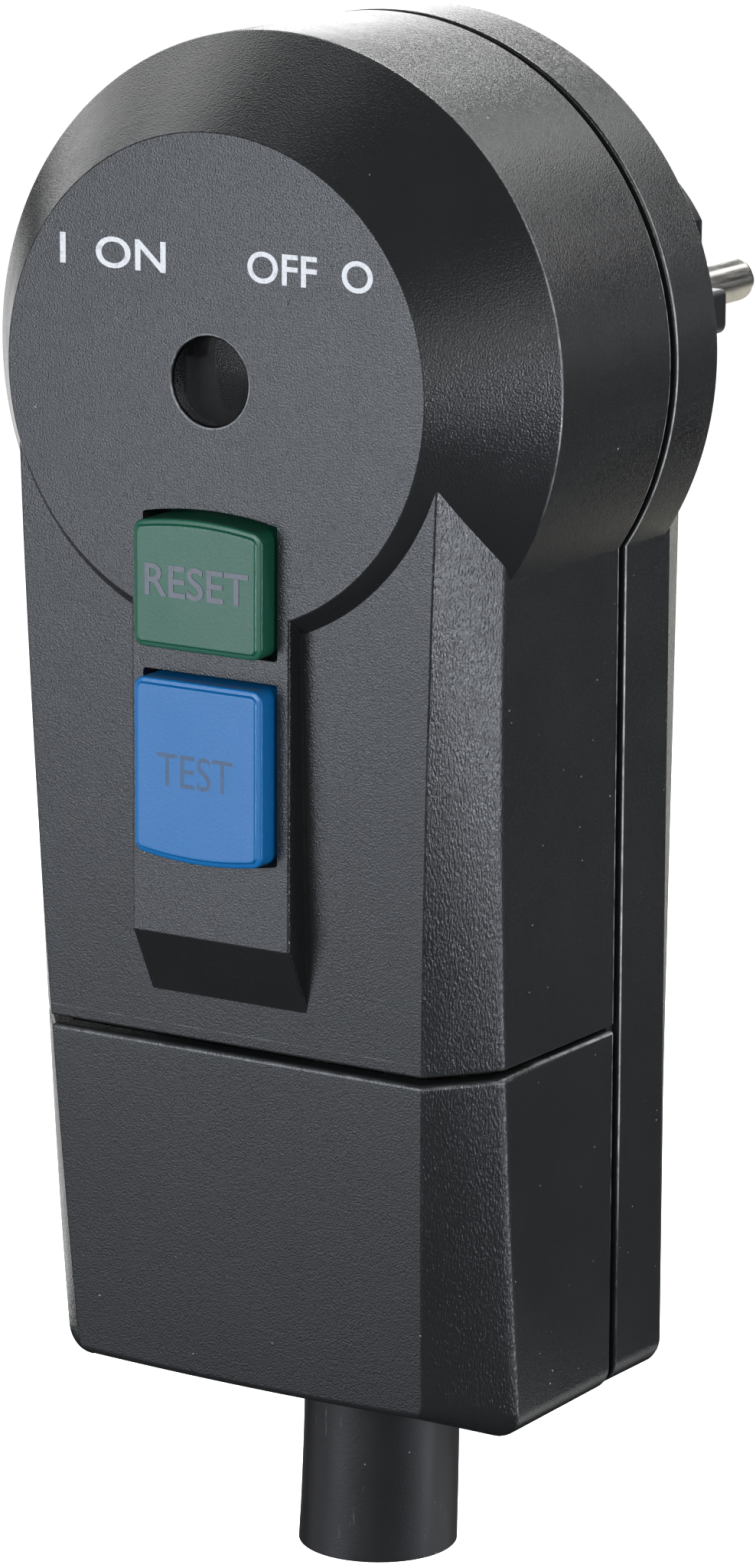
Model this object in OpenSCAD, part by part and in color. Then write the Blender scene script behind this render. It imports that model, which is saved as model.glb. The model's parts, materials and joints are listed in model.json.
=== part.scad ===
// Portable residual-current plug: a round head with two mains pins at the back,
// a chamfered body below it, and a separate terminal cover at the bottom.
// Depths are counted rearward (+Y) from the flat front disc and heights from the
// head's axis. The finished assembly is shifted so that the origin lies on the
// boss's engagement face, midway between the two pins.

/* [Head] */
// Radius of the round head
head_r = 34; // [33:0.1:35]
// Radius of the flat front disc
disc_r = 25; // [24:0.1:26]
// Depth of the cone between the disc and the head's cylinder
cone_depth = 11.4; // [10:0.1:12]
// Radius of the indicator window
window_r = 4.65; // [4:0.05:5]

/* [Body] */
// Width of the body across its flat sides
body_w = 56.4; // [55:0.2:58]
// Height of the terminal cover's seam below the head's axis
seam_drop = 69.8; // [69:0.1:71]
// Height of the bottom face below the head's axis
body_drop = 109.1; // [108:0.1:110]
// Wall thickness of the mouldings
wall = 2.2; // [2:0.1:2.4]

/* [Depths] */
// Depth of the middle of the seam between the front and rear shells
split_depth = 33.1; // [33:0.05:33.2]
// Width of that seam
split_gap = 1.1; // [0.8:0.1:1.2]
// Depth of the head's flat back
head_depth = 42; // [41.5:0.1:42.5]
// Depth of the body's flat back
body_depth = 43; // [42.8:0.1:43.4]
// Depth of the boss's engagement face
face_depth = 70; // [69.5:0.1:70.5]

/* [Buttons] */
// Half width of both button caps
cap_hw = 7.8; // [7.5:0.05:7.9]
// Gap between a cap and its hole
cap_gap = 0.35; // [0.3:0.05:0.5]
// How far the caps stand out of the plinth
cap_out = 2.6; // [2:0.1:3]
// Half width of the plinth
plinth_hw = 9.6; // [9.3:0.1:10]

/* [Plug] */
// Diameter of a mains pin
pin_d = 4.8; // [4.7:0.02:4.86]
// Distance between the two pin axes
pin_pitch = 19; // [18.9:0.05:19.1]
// Length of a pin in front of the engagement face
pin_len = 19; // [18.5:0.1:19.5]
// Radius of the plug boss
boss_r = 18.45; // [18.2:0.05:18.5]
// Radius of the collar around the boss's root
collar_r = 24; // [23:0.5:25]
// Depth of the collar's rear face
collar_depth = 52.5; // [52:0.1:52.5]

/* [Cable entry] */
// Outer diameter of the rubber sleeve
sleeve_d = 16.7; // [16:0.1:16.8]
// Bore of the rubber sleeve
sleeve_bore = 11.5; // [10:0.5:12]
// Length of the sleeve below the bottom face
sleeve_out = 21.4; // [18:0.1:26]

/* [Hidden] */
$fn = 64;

body_hw = body_w / 2;
front_edge = split_depth - split_gap / 2;   // rear edge of the front shells
rear_edge = split_depth + split_gap / 2;    // front edge of the rear shell
bulk_z = -seam_drop + 0.4;                  // underside of the front shell
cover_z = -seam_drop - 0.4;                 // top edge of the terminal cover
bottom_z = -body_drop;
cone_slope = (head_r - disc_r) / cone_depth;
arch_r = 41;                                // arch of the buttons' outer ends
reset_top = -13.4; reset_bot = -27.3;       // reset cap, middle of its arch and foot
test_top = -30.35; test_bot = -49.2;        // test cap, top and middle of its arch
reset_z = -20.3; test_z = -39.6;            // stems of the two buttons
head_screw = [21, 19]; body_screw = [22.3, -63.5]; cover_screw = [19.5, -99];
sleeve_y = split_depth - 0.5;
coil_z = -26;                               // axis of the holding coil
board_y = 30; board_t = 1.6;
drum_y = 16; drum_r = 7.5; crank_r = 3; crank_half = 28.65;
post_x = 18; post_z = [-30, -57];
term_x = [-9.5, 0, 9.5];
root_r = pin_d / 2 + 0.2;                   // thicker root of a pin, inside the boss

// Depth of the body's front face, which leans back towards the bottom
function below(z) = max(0, -z - 18);
function front_y(z) = 2.06 + 0.00875 * below(z) + 0.00046 * pow(below(z), 2);
// Half width of the front face
function front_hw(z) = 25.2 + 0.0394 * (z + 9);
// Depth at which the side chamfer meets the flat side
function cham_y(z) = 10.27 - 0.0347 * below(z) + 0.00088 * pow(below(z), 2);

// One level of the body's outline at height z, set in by t, closed at depth yb,
// with its sides drawn in by a further e
function level(z, t, yb, e = 0) =
    let (wf = front_hw(z), yf = front_y(z), yc = cham_y(z), dx = body_hw - wf, dy = yc - yf,
         len = sqrt(dx * dx + dy * dy),
         wi = wf - t * dy / len + (t - t * dx / len) / dy * dx,
         yi = yf + t * dx / len + (body_hw - t - wf + t * dy / len) / dx * dy)
    [[e - wi, yf + t, z], [wi - e, yf + t, z], [body_hw - t - e, yi, z],
     [body_hw - t - e, yb, z], [e - body_hw + t, yb, z], [e - body_hw + t, yi, z]];

// Solid through a list of [height, inset, side inset] levels, highest first
module loft(levels, yb) {
    n = len(levels);
    polyhedron(points = [for (l = levels) each level(l[0], l[1], yb, l[2])],
        faces = concat([[5, 4, 3, 2, 1, 0]], [[for (j = [0:5]) (n - 1) * 6 + j]],
            [for (i = [0:n - 2], j = [0:5]) [i * 6 + j, i * 6 + (j + 1) % 6, (i + 1) * 6 + (j + 1) % 6]],
            [for (i = [0:n - 2], j = [0:5]) [i * 6 + j, (i + 1) * 6 + (j + 1) % 6, (i + 1) * 6 + j]]));
}

// Round tube along a list of points
function unit(v) = v / norm(v);
module tube(pts, r, sides = 8, ref = [1, 0.13, 0.07]) {
    n = len(pts);
    dirs = [for (i = [0:n - 1]) unit(pts[min(i + 1, n - 1)] - pts[max(i - 1, 0)])];
    us = [for (d = dirs) unit(cross(d, ref))];
    vs = [for (i = [0:n - 1]) cross(dirs[i], us[i])];
    polyhedron(points = [for (i = [0:n - 1], j = [0:sides - 1])
                   pts[i] + r * (cos(360 * j / sides) * us[i] + sin(360 * j / sides) * vs[i])],
        faces = concat([[for (j = [0:sides - 1]) j]],
            [[for (j = [sides - 1:-1:0]) (n - 1) * sides + j]],
            [for (i = [0:n - 2], j = [0:sides - 1])
                [i * sides + j, (i + 1) * sides + j, (i + 1) * sides + (j + 1) % sides]],
            [for (i = [0:n - 2], j = [0:sides - 1])
                [i * sides + j, (i + 1) * sides + (j + 1) % sides, i * sides + (j + 1) % sides]]));
}

// Coil spring along +Y from depth y0, around the axis at height z
module coil_spring(z, y0, len, r, wire, turns) {
    steps = turns * 14;
    tube([for (i = [0:steps]) let (a = 360 * turns * i / steps)
             [r * cos(a), y0 + wire + (len - 2 * wire) * i / steps, z + r * sin(a)]],
         wire, 6, [0, 1, 0]);
}

module placed() { translate([0, -face_depth, 0]) children(); }
// Cylinder along +Y from depth y0 to y1, at x and z
module rod(x, z, y0, y1, r) { translate([x, y0, z]) rotate([-90, 0, 0]) cylinder(h = y1 - y0, r = r); }
// Turned shape around the head's axis, from a profile of radius and depth
module turned(profile) { rotate([-90, 0, 0]) rotate_extrude($fn = 128) polygon(profile); }
// Box between two corners
module box(a, b) { translate(a) cube(b - a); }
// Outline in the front plane, given thickness between two depths
module slab(y0, y1) { translate([0, y1, 0]) rotate([90, 0, 0]) linear_extrude(height = y1 - y0) children(); }
// Outline in the side plane (depth, height), given thickness along X
module side_slab(x0, x1) { translate([x0, 0, 0]) rotate([90, 0, 90]) linear_extrude(height = x1 - x0) children(); }
module both() { children(); mirror([1, 0, 0]) children(); }

// Outline of the rear shell, set in by t, with rounded bottom corners
module shell_2d(t, r) {
    circle(r = head_r - t, $fn = 128);
    translate([-body_hw + t, bottom_z + t + r]) square([body_w - 2 * t, body_drop - t - r]);
    translate([-body_hw + t + r, bottom_z + t]) square([body_w - 2 * t - 2 * r, r + 1]);
    for (s = [-1, 1]) translate([s * (body_hw - t - r), bottom_z + t + r]) circle(r = r);
}

// Outline of a button cap: flat at one end, arched at the other
module cap_2d(grow, reset) {
    if (reset) intersection() {
        translate([-cap_hw - grow, reset_bot - grow]) square([2 * (cap_hw + grow), 20]);
        translate([0, reset_top - arch_r]) circle(r = arch_r + grow, $fn = 192);
    } else intersection() {
        translate([-cap_hw - grow, test_top + grow - 24]) square([2 * (cap_hw + grow), 24]);
        translate([0, test_bot + arch_r]) circle(r = arch_r + grow, $fn = 192);
    }
}

module body_levels(t, top, foot, yb) {
    loft([for (i = [0:11]) [top + (foot - top) * i / 11, t, 0]], yb);
}

module front_outer() {
    turned([[0, 0], [disc_r, 0], [head_r, cone_depth], [head_r, front_edge], [0, front_edge]]);
    body_levels(0, 0, bulk_z, front_edge);
    side_slab(-plinth_hw, plinth_hw)
        polygon([[0, -16], [0, -57.5], [3.7, -65], [7, -65], [7, -16]]);
}

module front_housing() {
    color([0.16, 0.165, 0.175]) placed() difference() {
        union() {
            difference() {
                front_outer();
                turned([[0, wall], [disc_r - 0.9, wall], [head_r - wall, cone_depth + 0.6],
                        [head_r - wall, front_edge + 1], [0, front_edge + 1]]);
                body_levels(wall, 2, bulk_z + wall, front_edge + 1);
            }
            // thicker wall behind the buttons, which stops their flanges, and
            // screw bosses, all cut to the outer shape
            intersection() {
                front_outer();
                union() {
                    box([-10.6, 1.2, -51.6], [10.6, 5, -11.6]);
                    both() {
                        rod(head_screw[0], head_screw[1], 2, front_edge, 3);
                        rod(body_screw[0], body_screw[1], 4, front_edge, 3);
                    }
                }
            }
        }
        both() {
            rod(head_screw[0], head_screw[1], 18, front_edge + 1, 1.45);
            rod(body_screw[0], body_screw[1], 18, front_edge + 1, 1.45);
        }
        rod(0, 0, -1, 4, window_r);
        slab(-1, 6) cap_2d(cap_gap, true);
        slab(-1, 6) cap_2d(cap_gap, false);
        // gap in the floor for the wires
        box([-12, 14, bulk_z - 1], [12, front_edge + 1, bulk_z + wall + 1]);
    }
}

module rear_housing() {
    color([0.15, 0.155, 0.165]) placed() difference() {
        union() {
            difference() {
                union() {
                    turned([[0, rear_edge], [head_r, rear_edge], [head_r, head_depth - 0.6],
                            [head_r - 0.6, head_depth], [collar_r, head_depth],
                            [collar_r, collar_depth - 1], [collar_r - 1, collar_depth], [0, collar_depth]]);
                    slab(rear_edge, body_depth) intersection() {
                        shell_2d(0, 3);
                        translate([-body_hw, bottom_z]) square([body_w, body_drop - 16]);
                    }
                    // back panel, deeper at the top
                    polyhedron(points = [
                            [-body_hw, body_depth - 0.4, -16], [body_hw, body_depth - 0.4, -16],
                            [body_hw - 0.8, body_depth + 2.2, -16], [-body_hw + 0.8, body_depth + 2.2, -16],
                            [-body_hw, body_depth - 0.4, -78], [body_hw, body_depth - 0.4, -78],
                            [body_hw, body_depth, -78], [-body_hw, body_depth, -78]],
                        faces = [[3, 2, 1, 0], [4, 5, 6, 7], [0, 1, 5, 4], [1, 2, 6, 5],
                                 [2, 3, 7, 6], [3, 0, 4, 7]]);
                }
                slab(rear_edge - 1, head_depth - wall) intersection() {
                    shell_2d(wall, 1);
                    translate([-40, -14]) square([80, 80]);
                }
                slab(rear_edge - 1, body_depth - wall) intersection() {
                    shell_2d(wall, 1);
                    translate([-40, -140]) square([80, 126]);
                }
            }
            // screw columns up to the seam
            both() {
                intersection() {
                    rod(head_screw[0], head_screw[1], rear_edge, head_depth - 1, 4.2);
                    rod(0, 0, rear_edge - 1, head_depth, head_r - 0.5);
                }
                intersection() {
                    union() {
                        rod(body_screw[0], body_screw[1], rear_edge, body_depth - 1, 4.2);
                        rod(cover_screw[0], cover_screw[1], rear_edge, body_depth - 1, 4.2);
                    }
                    box([0, 0, -110], [body_hw - 0.5, 60, 0]);
                }
                // posts under the circuit board and the cord clamp
                for (z = post_z) rod(post_x, z, board_y + board_t, body_depth - 1, 2.6);
                rod(10.5, -95, 27.2, body_depth - 1, 2.8);
            }
        }
        rod(0, 0, rear_edge - 1, collar_depth + 1, boss_r + 0.15);
        both() {
            for (p = [head_screw, body_screw, cover_screw]) {
                rod(p[0], p[1], rear_edge - 1, collar_depth, 1.7);
                rod(p[0], p[1], 37.5, collar_depth, 3.2);
            }
            for (z = post_z) rod(post_x, z, board_y, 39, 1.2);
            rod(10.5, -95, 26, 38, 1.45);
        }
        translate([0, sleeve_y, bottom_z - 1]) cylinder(h = 6.2, r = sleeve_d / 2 + 0.1);
    }
}

// What the sloping front of the bottom face takes away, t further in
module foot_cut(t) {
    side_slab(-40, 40) polygon([[0, bottom_z + 4.6 + 1.05 * t], [14.2, bottom_z + 1.05 * t], [14.2, -140], [0, -140]]);
}

// Cover with rounded bottom corners and a bottom face that rises towards the front
module cover_outer() {
    r = 2.8;
    difference() {
        loft(concat([for (i = [0:6]) [cover_z + (bottom_z + r - cover_z) * i / 6, 0, 0]],
                    [for (a = [15:15:90]) [bottom_z + r - r * sin(a), 0, r * (1 - cos(a))]]), front_edge);
        foot_cut(0);
    }
}

module terminal_cover() {
    color([0.16, 0.165, 0.175]) placed() difference() {
        union() {
            difference() {
                cover_outer();
                difference() {
                    loft([for (i = [0:6]) [cover_z + 1 + (bottom_z + wall - cover_z - 1) * i / 6, wall, 0]], front_edge + 1);
                    foot_cut(wall);
                }
            }
            intersection() {
                cover_outer();
                both() rod(cover_screw[0], cover_screw[1], 8, front_edge, 3.2);
            }
        }
        both() rod(cover_screw[0], cover_screw[1], 18, front_edge + 1, 1.45);
        translate([0, sleeve_y, bottom_z - 1]) cylinder(h = 6.2, r = sleeve_d / 2 + 0.1);
    }
}

module housing_gasket() {
    color([0.03, 0.03, 0.03]) placed() difference() {
        slab(front_edge, rear_edge) difference() {
            shell_2d(0.9, 2.4);
            shell_2d(wall, 1.2);
        }
        translate([0, sleeve_y, bottom_z - 1]) cylinder(h = 8, r = sleeve_d / 2 + 0.4);
    }
}

// Pan-head screw along +Y with a cross recess, head at the rear end
module screw(x, z, tip, seat, r, head_rad, head_h) {
    difference() {
        union() {
            rod(x, z, tip, seat, r);
            rod(x, z, seat, seat + head_h, head_rad);
        }
        box([x - head_rad * 0.7, seat + head_h * 0.45, z - 0.4], [x + head_rad * 0.7, seat + head_h + 1, z + 0.4]);
        box([x - 0.4, seat + head_h * 0.45, z - head_rad * 0.7], [x + 0.4, seat + head_h + 1, z + head_rad * 0.7]);
    }
}
// The same screw driven from the front
module front_screw(x, z, seat, tip, r, head_rad, head_h) {
    translate([0, 2 * seat, 0]) mirror([0, 1, 0]) screw(x, z, 2 * seat - tip, seat, r, head_rad, head_h);
}

module housing_screws() {
    color("silver") placed() both() {
        screw(head_screw[0], head_screw[1], 20, 37.5, 1.4, 2.9, 2.3);
        screw(body_screw[0], body_screw[1], 20, 37.5, 1.4, 2.9, 2.3);
    }
}
module cover_screws() {
    color("silver") placed() both() screw(cover_screw[0], cover_screw[1], 20, 37.5, 1.4, 2.9, 2.3);
}

module plug_insert() {
    color([0.13, 0.135, 0.14]) placed() difference() {
        union() {
            turned([[0, 37.6], [22, 37.6], [22, head_depth - wall], [boss_r, head_depth - wall],
                    [boss_r, collar_depth + 0.5], [0, collar_depth + 0.5]]);
            intersection() {
                turned([[0, 50], [boss_r, 50], [boss_r, face_depth - 0.6], [boss_r - 0.6, face_depth], [0, face_depth]]);
                box([-15.9, 50, -20], [15.9, face_depth, 20]);
            }
            // guide ribs on the two flats
            both() slab(collar_depth, face_depth) {
                translate([10, -2.4]) square([8.2, 4.8]);
                translate([10, -1.8]) square([8.8, 3.6]);
                for (s = [-1, 1]) translate([18.2, s * 1.8]) circle(r = 0.6);
            }
        }
        for (s = [-1, 1]) {
            rod(s * pin_pitch / 2, 0, 36, face_depth + 1, root_r + 0.05);
            // recess and slot for each earth contact
            box([-6.2, collar_depth + 0.5, s > 0 ? 15.1 : -20], [6.2, face_depth + 1, s > 0 ? 20 : -15.1]);
            box([-3.4, 37, s > 0 ? 15.1 : -16.5], [3.4, face_depth, s > 0 ? 16.5 : -15.1]);
        }
        rod(0, 10, 37, face_depth + 1, 3.15);
        // flat on the inner flange, beside the coil
        box([-30, 37, -30], [30, head_depth - wall, -18.6]);
    }
}

module mains_pin(x) {
    r = pin_d / 2; tip = face_depth + pin_len;
    translate([x, 0, 0]) turned(concat(
        [[0, 29.6], [1.25, 29.6], [1.25, 36.1], [3.4, 36.1], [3.4, 37.55],
         [root_r, 37.55], [root_r, face_depth], [r, face_depth], [r, tip - 1.2]],
        [for (a = [15:15:75]) [r - 1.2 + 1.2 * cos(a), tip - 1.2 + 1.2 * sin(a)]],
        [[r - 1.2, tip], [0, tip]]));
}
module line_pin() { color([0.83, 0.82, 0.79]) placed() mains_pin(-pin_pitch / 2); }
module neutral_pin() { color([0.83, 0.82, 0.79]) placed() mains_pin(pin_pitch / 2); }

module earth_strap() {
    color([0.8, 0.78, 0.72]) placed() {
        difference() {
            box([-3.2, 36.2, -16.4], [3.2, 37.4, 16.4]);
            rod(0, 10, 36, 38, 1.25);
        }
        for (s = [0, 1]) mirror([0, 0, s]) box([-3.2, 36.2, 15.2], [3.2, 68, 16.4]);
        box([3.2, 36.2, -16.4], [14.5, 37.4, -13.6]);
    }
}
module earth_socket() {
    color([0.8, 0.66, 0.3]) placed() difference() {
        union() {
            rod(0, 10, 36.2, 38, 1.2);
            rod(0, 10, 37.65, face_depth - 0.4, 3.1);
        }
        rod(0, 10, 54, face_depth, 2.55);
    }
}

module window_lens() {
    color([0.3, 0.32, 0.35, 0.5]) placed()
        turned([[0, 1.0], [window_r - 0.1, 1.0], [window_r - 0.1, wall], [6.2, wall], [6.2, 3.4], [0, 3.4]]);
}

// Cap with bevelled edges, a flange behind the wall and a guide stem
module button(reset, stem_z, stem_end) {
    slab(-cap_out + 0.7, 5.6) cap_2d(0, reset);
    hull() {
        slab(-cap_out + 0.69, -cap_out + 0.71) cap_2d(0, reset);
        slab(-cap_out, -cap_out + 0.01) cap_2d(-0.7, reset);
    }
    slab(5.1, 6.6) cap_2d(1.15, reset);
    rod(0, stem_z, 6, stem_end, 2.5);
}
module reset_button() { color([0.22, 0.42, 0.33]) placed() button(true, reset_z, 14.7); }
module test_button() { color([0.2, 0.43, 0.78]) placed() button(false, test_z, 25); }
module reset_spring() { color("silver") placed() coil_spring(reset_z, 6.65, 5.3, 3.6, 0.35, 4); }
module test_spring() { color("silver") placed() coil_spring(test_z, 6.65, 5.3, 3.6, 0.35, 4); }

module mechanism_frame() {
    color([0.86, 0.85, 0.8]) placed() difference() {
        union() {
            box([-22, 12, -50], [22, 13.6, -9]);
            both() {
                for (z = [-11.5, -47.5]) box([18, 13, z - 2], [22, board_y, z + 2]);
                // cheeks that carry the drum's axle
                side_slab(9.2, 10.8) { translate([12, -12]) square([6.5, 12]); translate([drum_y, 0]) circle(r = 2.5); }
                // guide posts for the carrier
                rod(9, -22, 13, 24.2, 1.5);
            }
        }
        rod(0, reset_z, 11, 15, 2.85);
        rod(0, test_z, 11, 15, 2.85);
        translate([-12, drum_y, 0]) rotate([0, 90, 0]) cylinder(h = 24, r = 1.02);
    }
}

module contact_carrier() {
    color([0.75, 0.2, 0.15]) placed() difference() {
        union() {
            box([-6, 15, -31], [6, 18, -14]);
            box([-15, 15, -26], [15, 18, -18]);
            // arm up to the drum, with a fork around its crank pin
            box([5.9, 15, -20], [8.6, 18, -12]);
            box([7.2, 15, -13], [8.6, 18, -4.2]);
            box([7.2, 12.2, -6], [8.6, 16.8, -4.2]);
            box([7.2, 12.2, -5], [8.6, 13.4, -1.75]);
            box([7.2, 15.6, -5], [8.6, 16.8, -1.75]);
        }
        both() rod(9, -22, 14, 19, 1.56);
    }
}
module moving_contacts() {
    color([0.85, 0.5, 0.3]) placed() both() {
        box([11.5, 18, -30.5], [14.5, 18.8, -13.5]);
        for (z = [-14.8, -29.2]) rod(13, z, 18.7, 19.8, 1.3);
    }
}
module armature() { color([0.6, 0.6, 0.62]) placed() rod(0, coil_z, 18, 33.5, 2.5); }
module carrier_spring() { color("silver") placed() coil_spring(coil_z, 18.05, 6.4, 3.7, 0.35, 5); }

module fixed_contacts() {
    color([0.85, 0.55, 0.3]) placed() both() for (z = [-14.8, -29.2]) {
        box([11.6, 24.1, z - 1.4], [14.4, board_y, z + 1.4]);
        rod(13, z, 23.1, 24.2, 1.3);
    }
}

module solenoid_yoke() {
    color([0.55, 0.56, 0.58]) placed() difference() {
        union() {
            box([-9.4, 24.5, coil_z - 7], [9.4, 26, coil_z + 7]);
            box([-9.4, 37.2, coil_z - 7], [9.4, 38.6, coil_z + 7]);
            both() {
                box([8, 24.5, coil_z - 7], [9.4, 38.6, coil_z + 7]);
                box([9.3, 28.6, coil_z - 1.2], [11.2, board_y, coil_z + 2]);
            }
            rod(0, coil_z, 36.9, 38, 2.5);
        }
        rod(0, coil_z, 24, 26.5, 2.95);
    }
}
module solenoid_bobbin() {
    color([0.9, 0.9, 0.86]) placed() difference() {
        union() {
            rod(0, coil_z, 26.05, 27, 6.9);
            rod(0, coil_z, 36.2, 37.15, 6.9);
            rod(0, coil_z, 26.5, 36.6, 3.6);
        }
        rod(0, coil_z, 26, 38, 2.9);
    }
}
module solenoid_coil() {
    color([0.72, 0.38, 0.16]) placed() difference() {
        rod(0, coil_z, 27, 36.2, 6.6);
        rod(0, coil_z, 26.5, 37, 3.6);
    }
}

module indicator_drum() {
    color([0.75, 0.12, 0.1]) placed() difference() {
        union() {
            // curved flag, from below the window's middle to the top
            side_slab(-5, 5) difference() {
                translate([drum_y, 0]) circle(r = drum_r, $fn = 96);
                translate([drum_y, 0]) circle(r = drum_r - 1.2, $fn = 96);
                translate([drum_y, 0]) polygon([[0, 0], [-16.2, -11.8], [0, -20], [20, -20], [20, 20], [0.9, 18]]);
            }
            // spokes and hub
            for (x = [-3.6, 2.4]) side_slab(x, x + 1.2) intersection() {
                translate([drum_y, 0]) circle(r = drum_r - 0.4);
                translate([drum_y, 0]) rotate(-28) translate([-8, -0.2]) square([8, 6]);
            }
            side_slab(-8.8, 6.8) translate([drum_y, 0]) circle(r = 2.2);
            side_slab(6.7, 8.8) translate([drum_y, 0]) circle(r = 1.45);
            // crank with its pin
            side_slab(5.4, 6.8) {
                translate([drum_y, 0]) rotate(-90 - crank_half) translate([0, -1.3]) square([crank_r, 2.6]);
                translate([drum_y - crank_r * sin(crank_half), -crank_r * cos(crank_half)]) circle(r = 1.3);
            }
            side_slab(6.5, 8.6) translate([drum_y - crank_r * sin(crank_half), -crank_r * cos(crank_half)]) circle(r = 0.8);
        }
        translate([-12, drum_y, 0]) rotate([0, 90, 0]) cylinder(h = 24, r = 1.05);
    }
}
module drum_axle() {
    color("silver") placed() translate([-11.2, drum_y, 0]) rotate([0, 90, 0]) cylinder(h = 22.4, r = 1);
}

module circuit_board() {
    color([0.1, 0.35, 0.2]) placed() difference() {
        box([-21, board_y, -60.5], [21, board_y + board_t, 8]);
        box([-9.8, board_y - 1, coil_z - 7.4], [9.8, board_y + 3, coil_z + 7.4]);
        for (s = [-1, 1]) {
            rod(s * pin_pitch / 2, 0, board_y - 1, board_y + 3, 1.4);
            for (z = post_z) rod(s * post_x, z, board_y - 1, board_y + 3, 1.3);
        }
    }
}
module board_screws() {
    color("silver") placed() both() for (z = post_z) front_screw(post_x, z, board_y, 37, 1.15, 2.3, 1.8);
}

module toroid_core() {
    color([0.25, 0.25, 0.27]) placed() translate([0, 20.6, -59]) difference() {
        cylinder(h = 6, r = 8.2);
        translate([0, 0, -1]) cylinder(h = 8, r = 5.2);
    }
}
module toroid_winding() {
    color([0.72, 0.35, 0.12]) placed() translate([0, 20.6, -59]) rotate(125)
        rotate_extrude(angle = 290) difference() {
            translate([4.5, -0.8]) square([4.5, 7.6]);
            translate([5.15, -0.05]) square([3.1, 6.1]);
        }
}

module test_contact() {
    color([0.85, 0.65, 0.35]) placed() {
        box([5, 29.6, -41.2], [8, board_y, -38]);
        box([5, 27.2, -41.2], [5.4, board_y, -38]);
        box([-3, 27.2, -41.2], [5.4, 27.6, -38]);
    }
}
module control_chip() {
    color([0.1, 0.1, 0.1]) placed() {
        box([-15.6, 26.4, -46], [-9.4, 29.2, -36]);
        for (i = [0:3], x = [-16, -9.2]) box([x - 0.3, 27.6, -45.2 + i * 2.54], [x + 0.5, board_y, -44.6 + i * 2.54]);
    }
}
module capacitors() {
    color([0.15, 0.2, 0.4]) placed() {
        for (z = [-39.5, -48.2]) difference() {
            rod(13.5, z, 18, board_y, 3.6);
            rod(13.5, z, 17, 18.4, 2.9);
        }
        box([-15.2, 20.5, -58.5], [-9.6, board_y, -52.5]);
    }
}
module varistor() {
    color([0.2, 0.35, 0.6]) placed() {
        translate([12.4, 24, -57]) cylinder(h = 3, r = 2.9);
        for (x = [11.4, 13.4]) rod(x, -55.5, 24.5, board_y, 0.4);
    }
}
module resistors() {
    color([0.75, 0.65, 0.5]) placed() both() for (x = [13.6, 17]) {
        translate([x, 28.6, -5]) cylinder(h = 6.4, r = 1.1);
        for (z = [-6.2, 2.6]) rod(x, z, 28.3, board_y, 0.3);
        translate([x, 28.6, -6.5]) cylinder(h = 9.4, r = 0.3);
    }
}

// Insulated conductors inside the housing
line_route = [[-9.5, 33, -78], [-9.5, 33, -73], [-8, 31, -69.5], [-5, 26, -66.5], [-2.5, 21.8, -64],
              [-1.7, 20.6, -61], [-1.7, 20.6, -50.5], [-1.7, 22, -47], [-1.7, 26, -45.4], [-1.7, 29.9, -45.2]];
neutral_route = [[0, 33, -78], [0.3, 33, -73], [0.9, 31, -69.5], [1.3, 26, -66.5], [1.6, 21.8, -64],
                 [1.7, 20.6, -61], [1.7, 20.6, -50.5], [1.7, 22, -47], [1.7, 26, -45.4], [1.7, 29.9, -45.2]];
earth_route = [[9.5, 33, -78], [9.6, 33.4, -73], [10.8, 35, -68], [12.5, 36.2, -62], [13, 36.5, -55],
               [13, 36.4, -40], [13, 36.3, -25], [13, 36.3, -16.5]];
module line_wire() { color([0.4, 0.25, 0.15]) placed() tube(line_route, 1.2); }
module neutral_wire() { color([0.2, 0.35, 0.7]) placed() tube(neutral_route, 1.2); }
module earth_wire() { color([0.4, 0.65, 0.2]) placed() tube(earth_route, 1.1); }

module terminal_block() {
    color([0.9, 0.89, 0.85]) placed() difference() {
        box([-15, 27, -86], [15, body_depth - wall, -76]);
        for (x = term_x) box([x - 3.4, 26, -87], [x + 3.4, 37, -75]);
    }
}
module terminal_clamps() {
    color([0.8, 0.64, 0.28]) placed() for (x = term_x) difference() {
        box([x - 3.3, 28.6, -85.4], [x + 3.3, 37, -76.6]);
        translate([x, 33, -90]) cylinder(h = 20, r = 1.7);
        rod(x, -81, 28, 33, 1.5);
    }
}
module terminal_screws() {
    color("silver") placed() for (x = term_x) difference() {
        union() {
            rod(x, -81, 26.6, 28.6, 2.5);
            rod(x, -81, 28.5, 31.2, 1.45);
        }
        box([x - 3, 26, -81.4], [x + 3, 27.6, -80.6]);
    }
}
module cord_clamp() {
    color([0.85, 0.84, 0.8]) placed() difference() {
        union() {
            box([-13.5, 24.2, -98], [13.5, 27.2, -92]);
            box([-6.5, 24.2, -98], [6.5, 28, -92]);
        }
        both() rod(10.5, -95, 23, 28, 1.6);
        translate([0, 33.4, -99]) cylinder(h = 8, r = 6.6);
    }
}
module cord_clamp_screws() { color("silver") placed() both() front_screw(10.5, -95, 24.2, 36, 1.4, 2.5, 1.9); }

module cable_sleeve() {
    color([0.06, 0.06, 0.065]) placed() difference() {
        union() {
            translate([0, sleeve_y, bottom_z - sleeve_out]) cylinder(h = sleeve_out + 5, r = sleeve_d / 2);
            // retaining flange inside, flat against the back wall
            intersection() {
                translate([0, sleeve_y, bottom_z + wall + 0.1]) cylinder(h = 2.6, r = 10.8);
                box([-12, 20, bottom_z], [12, body_depth - wall - 0.1, bottom_z + 10]);
            }
        }
        translate([0, sleeve_y, bottom_z - sleeve_out - 1]) cylinder(h = sleeve_out + 10, r = sleeve_bore / 2);
    }
}

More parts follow.
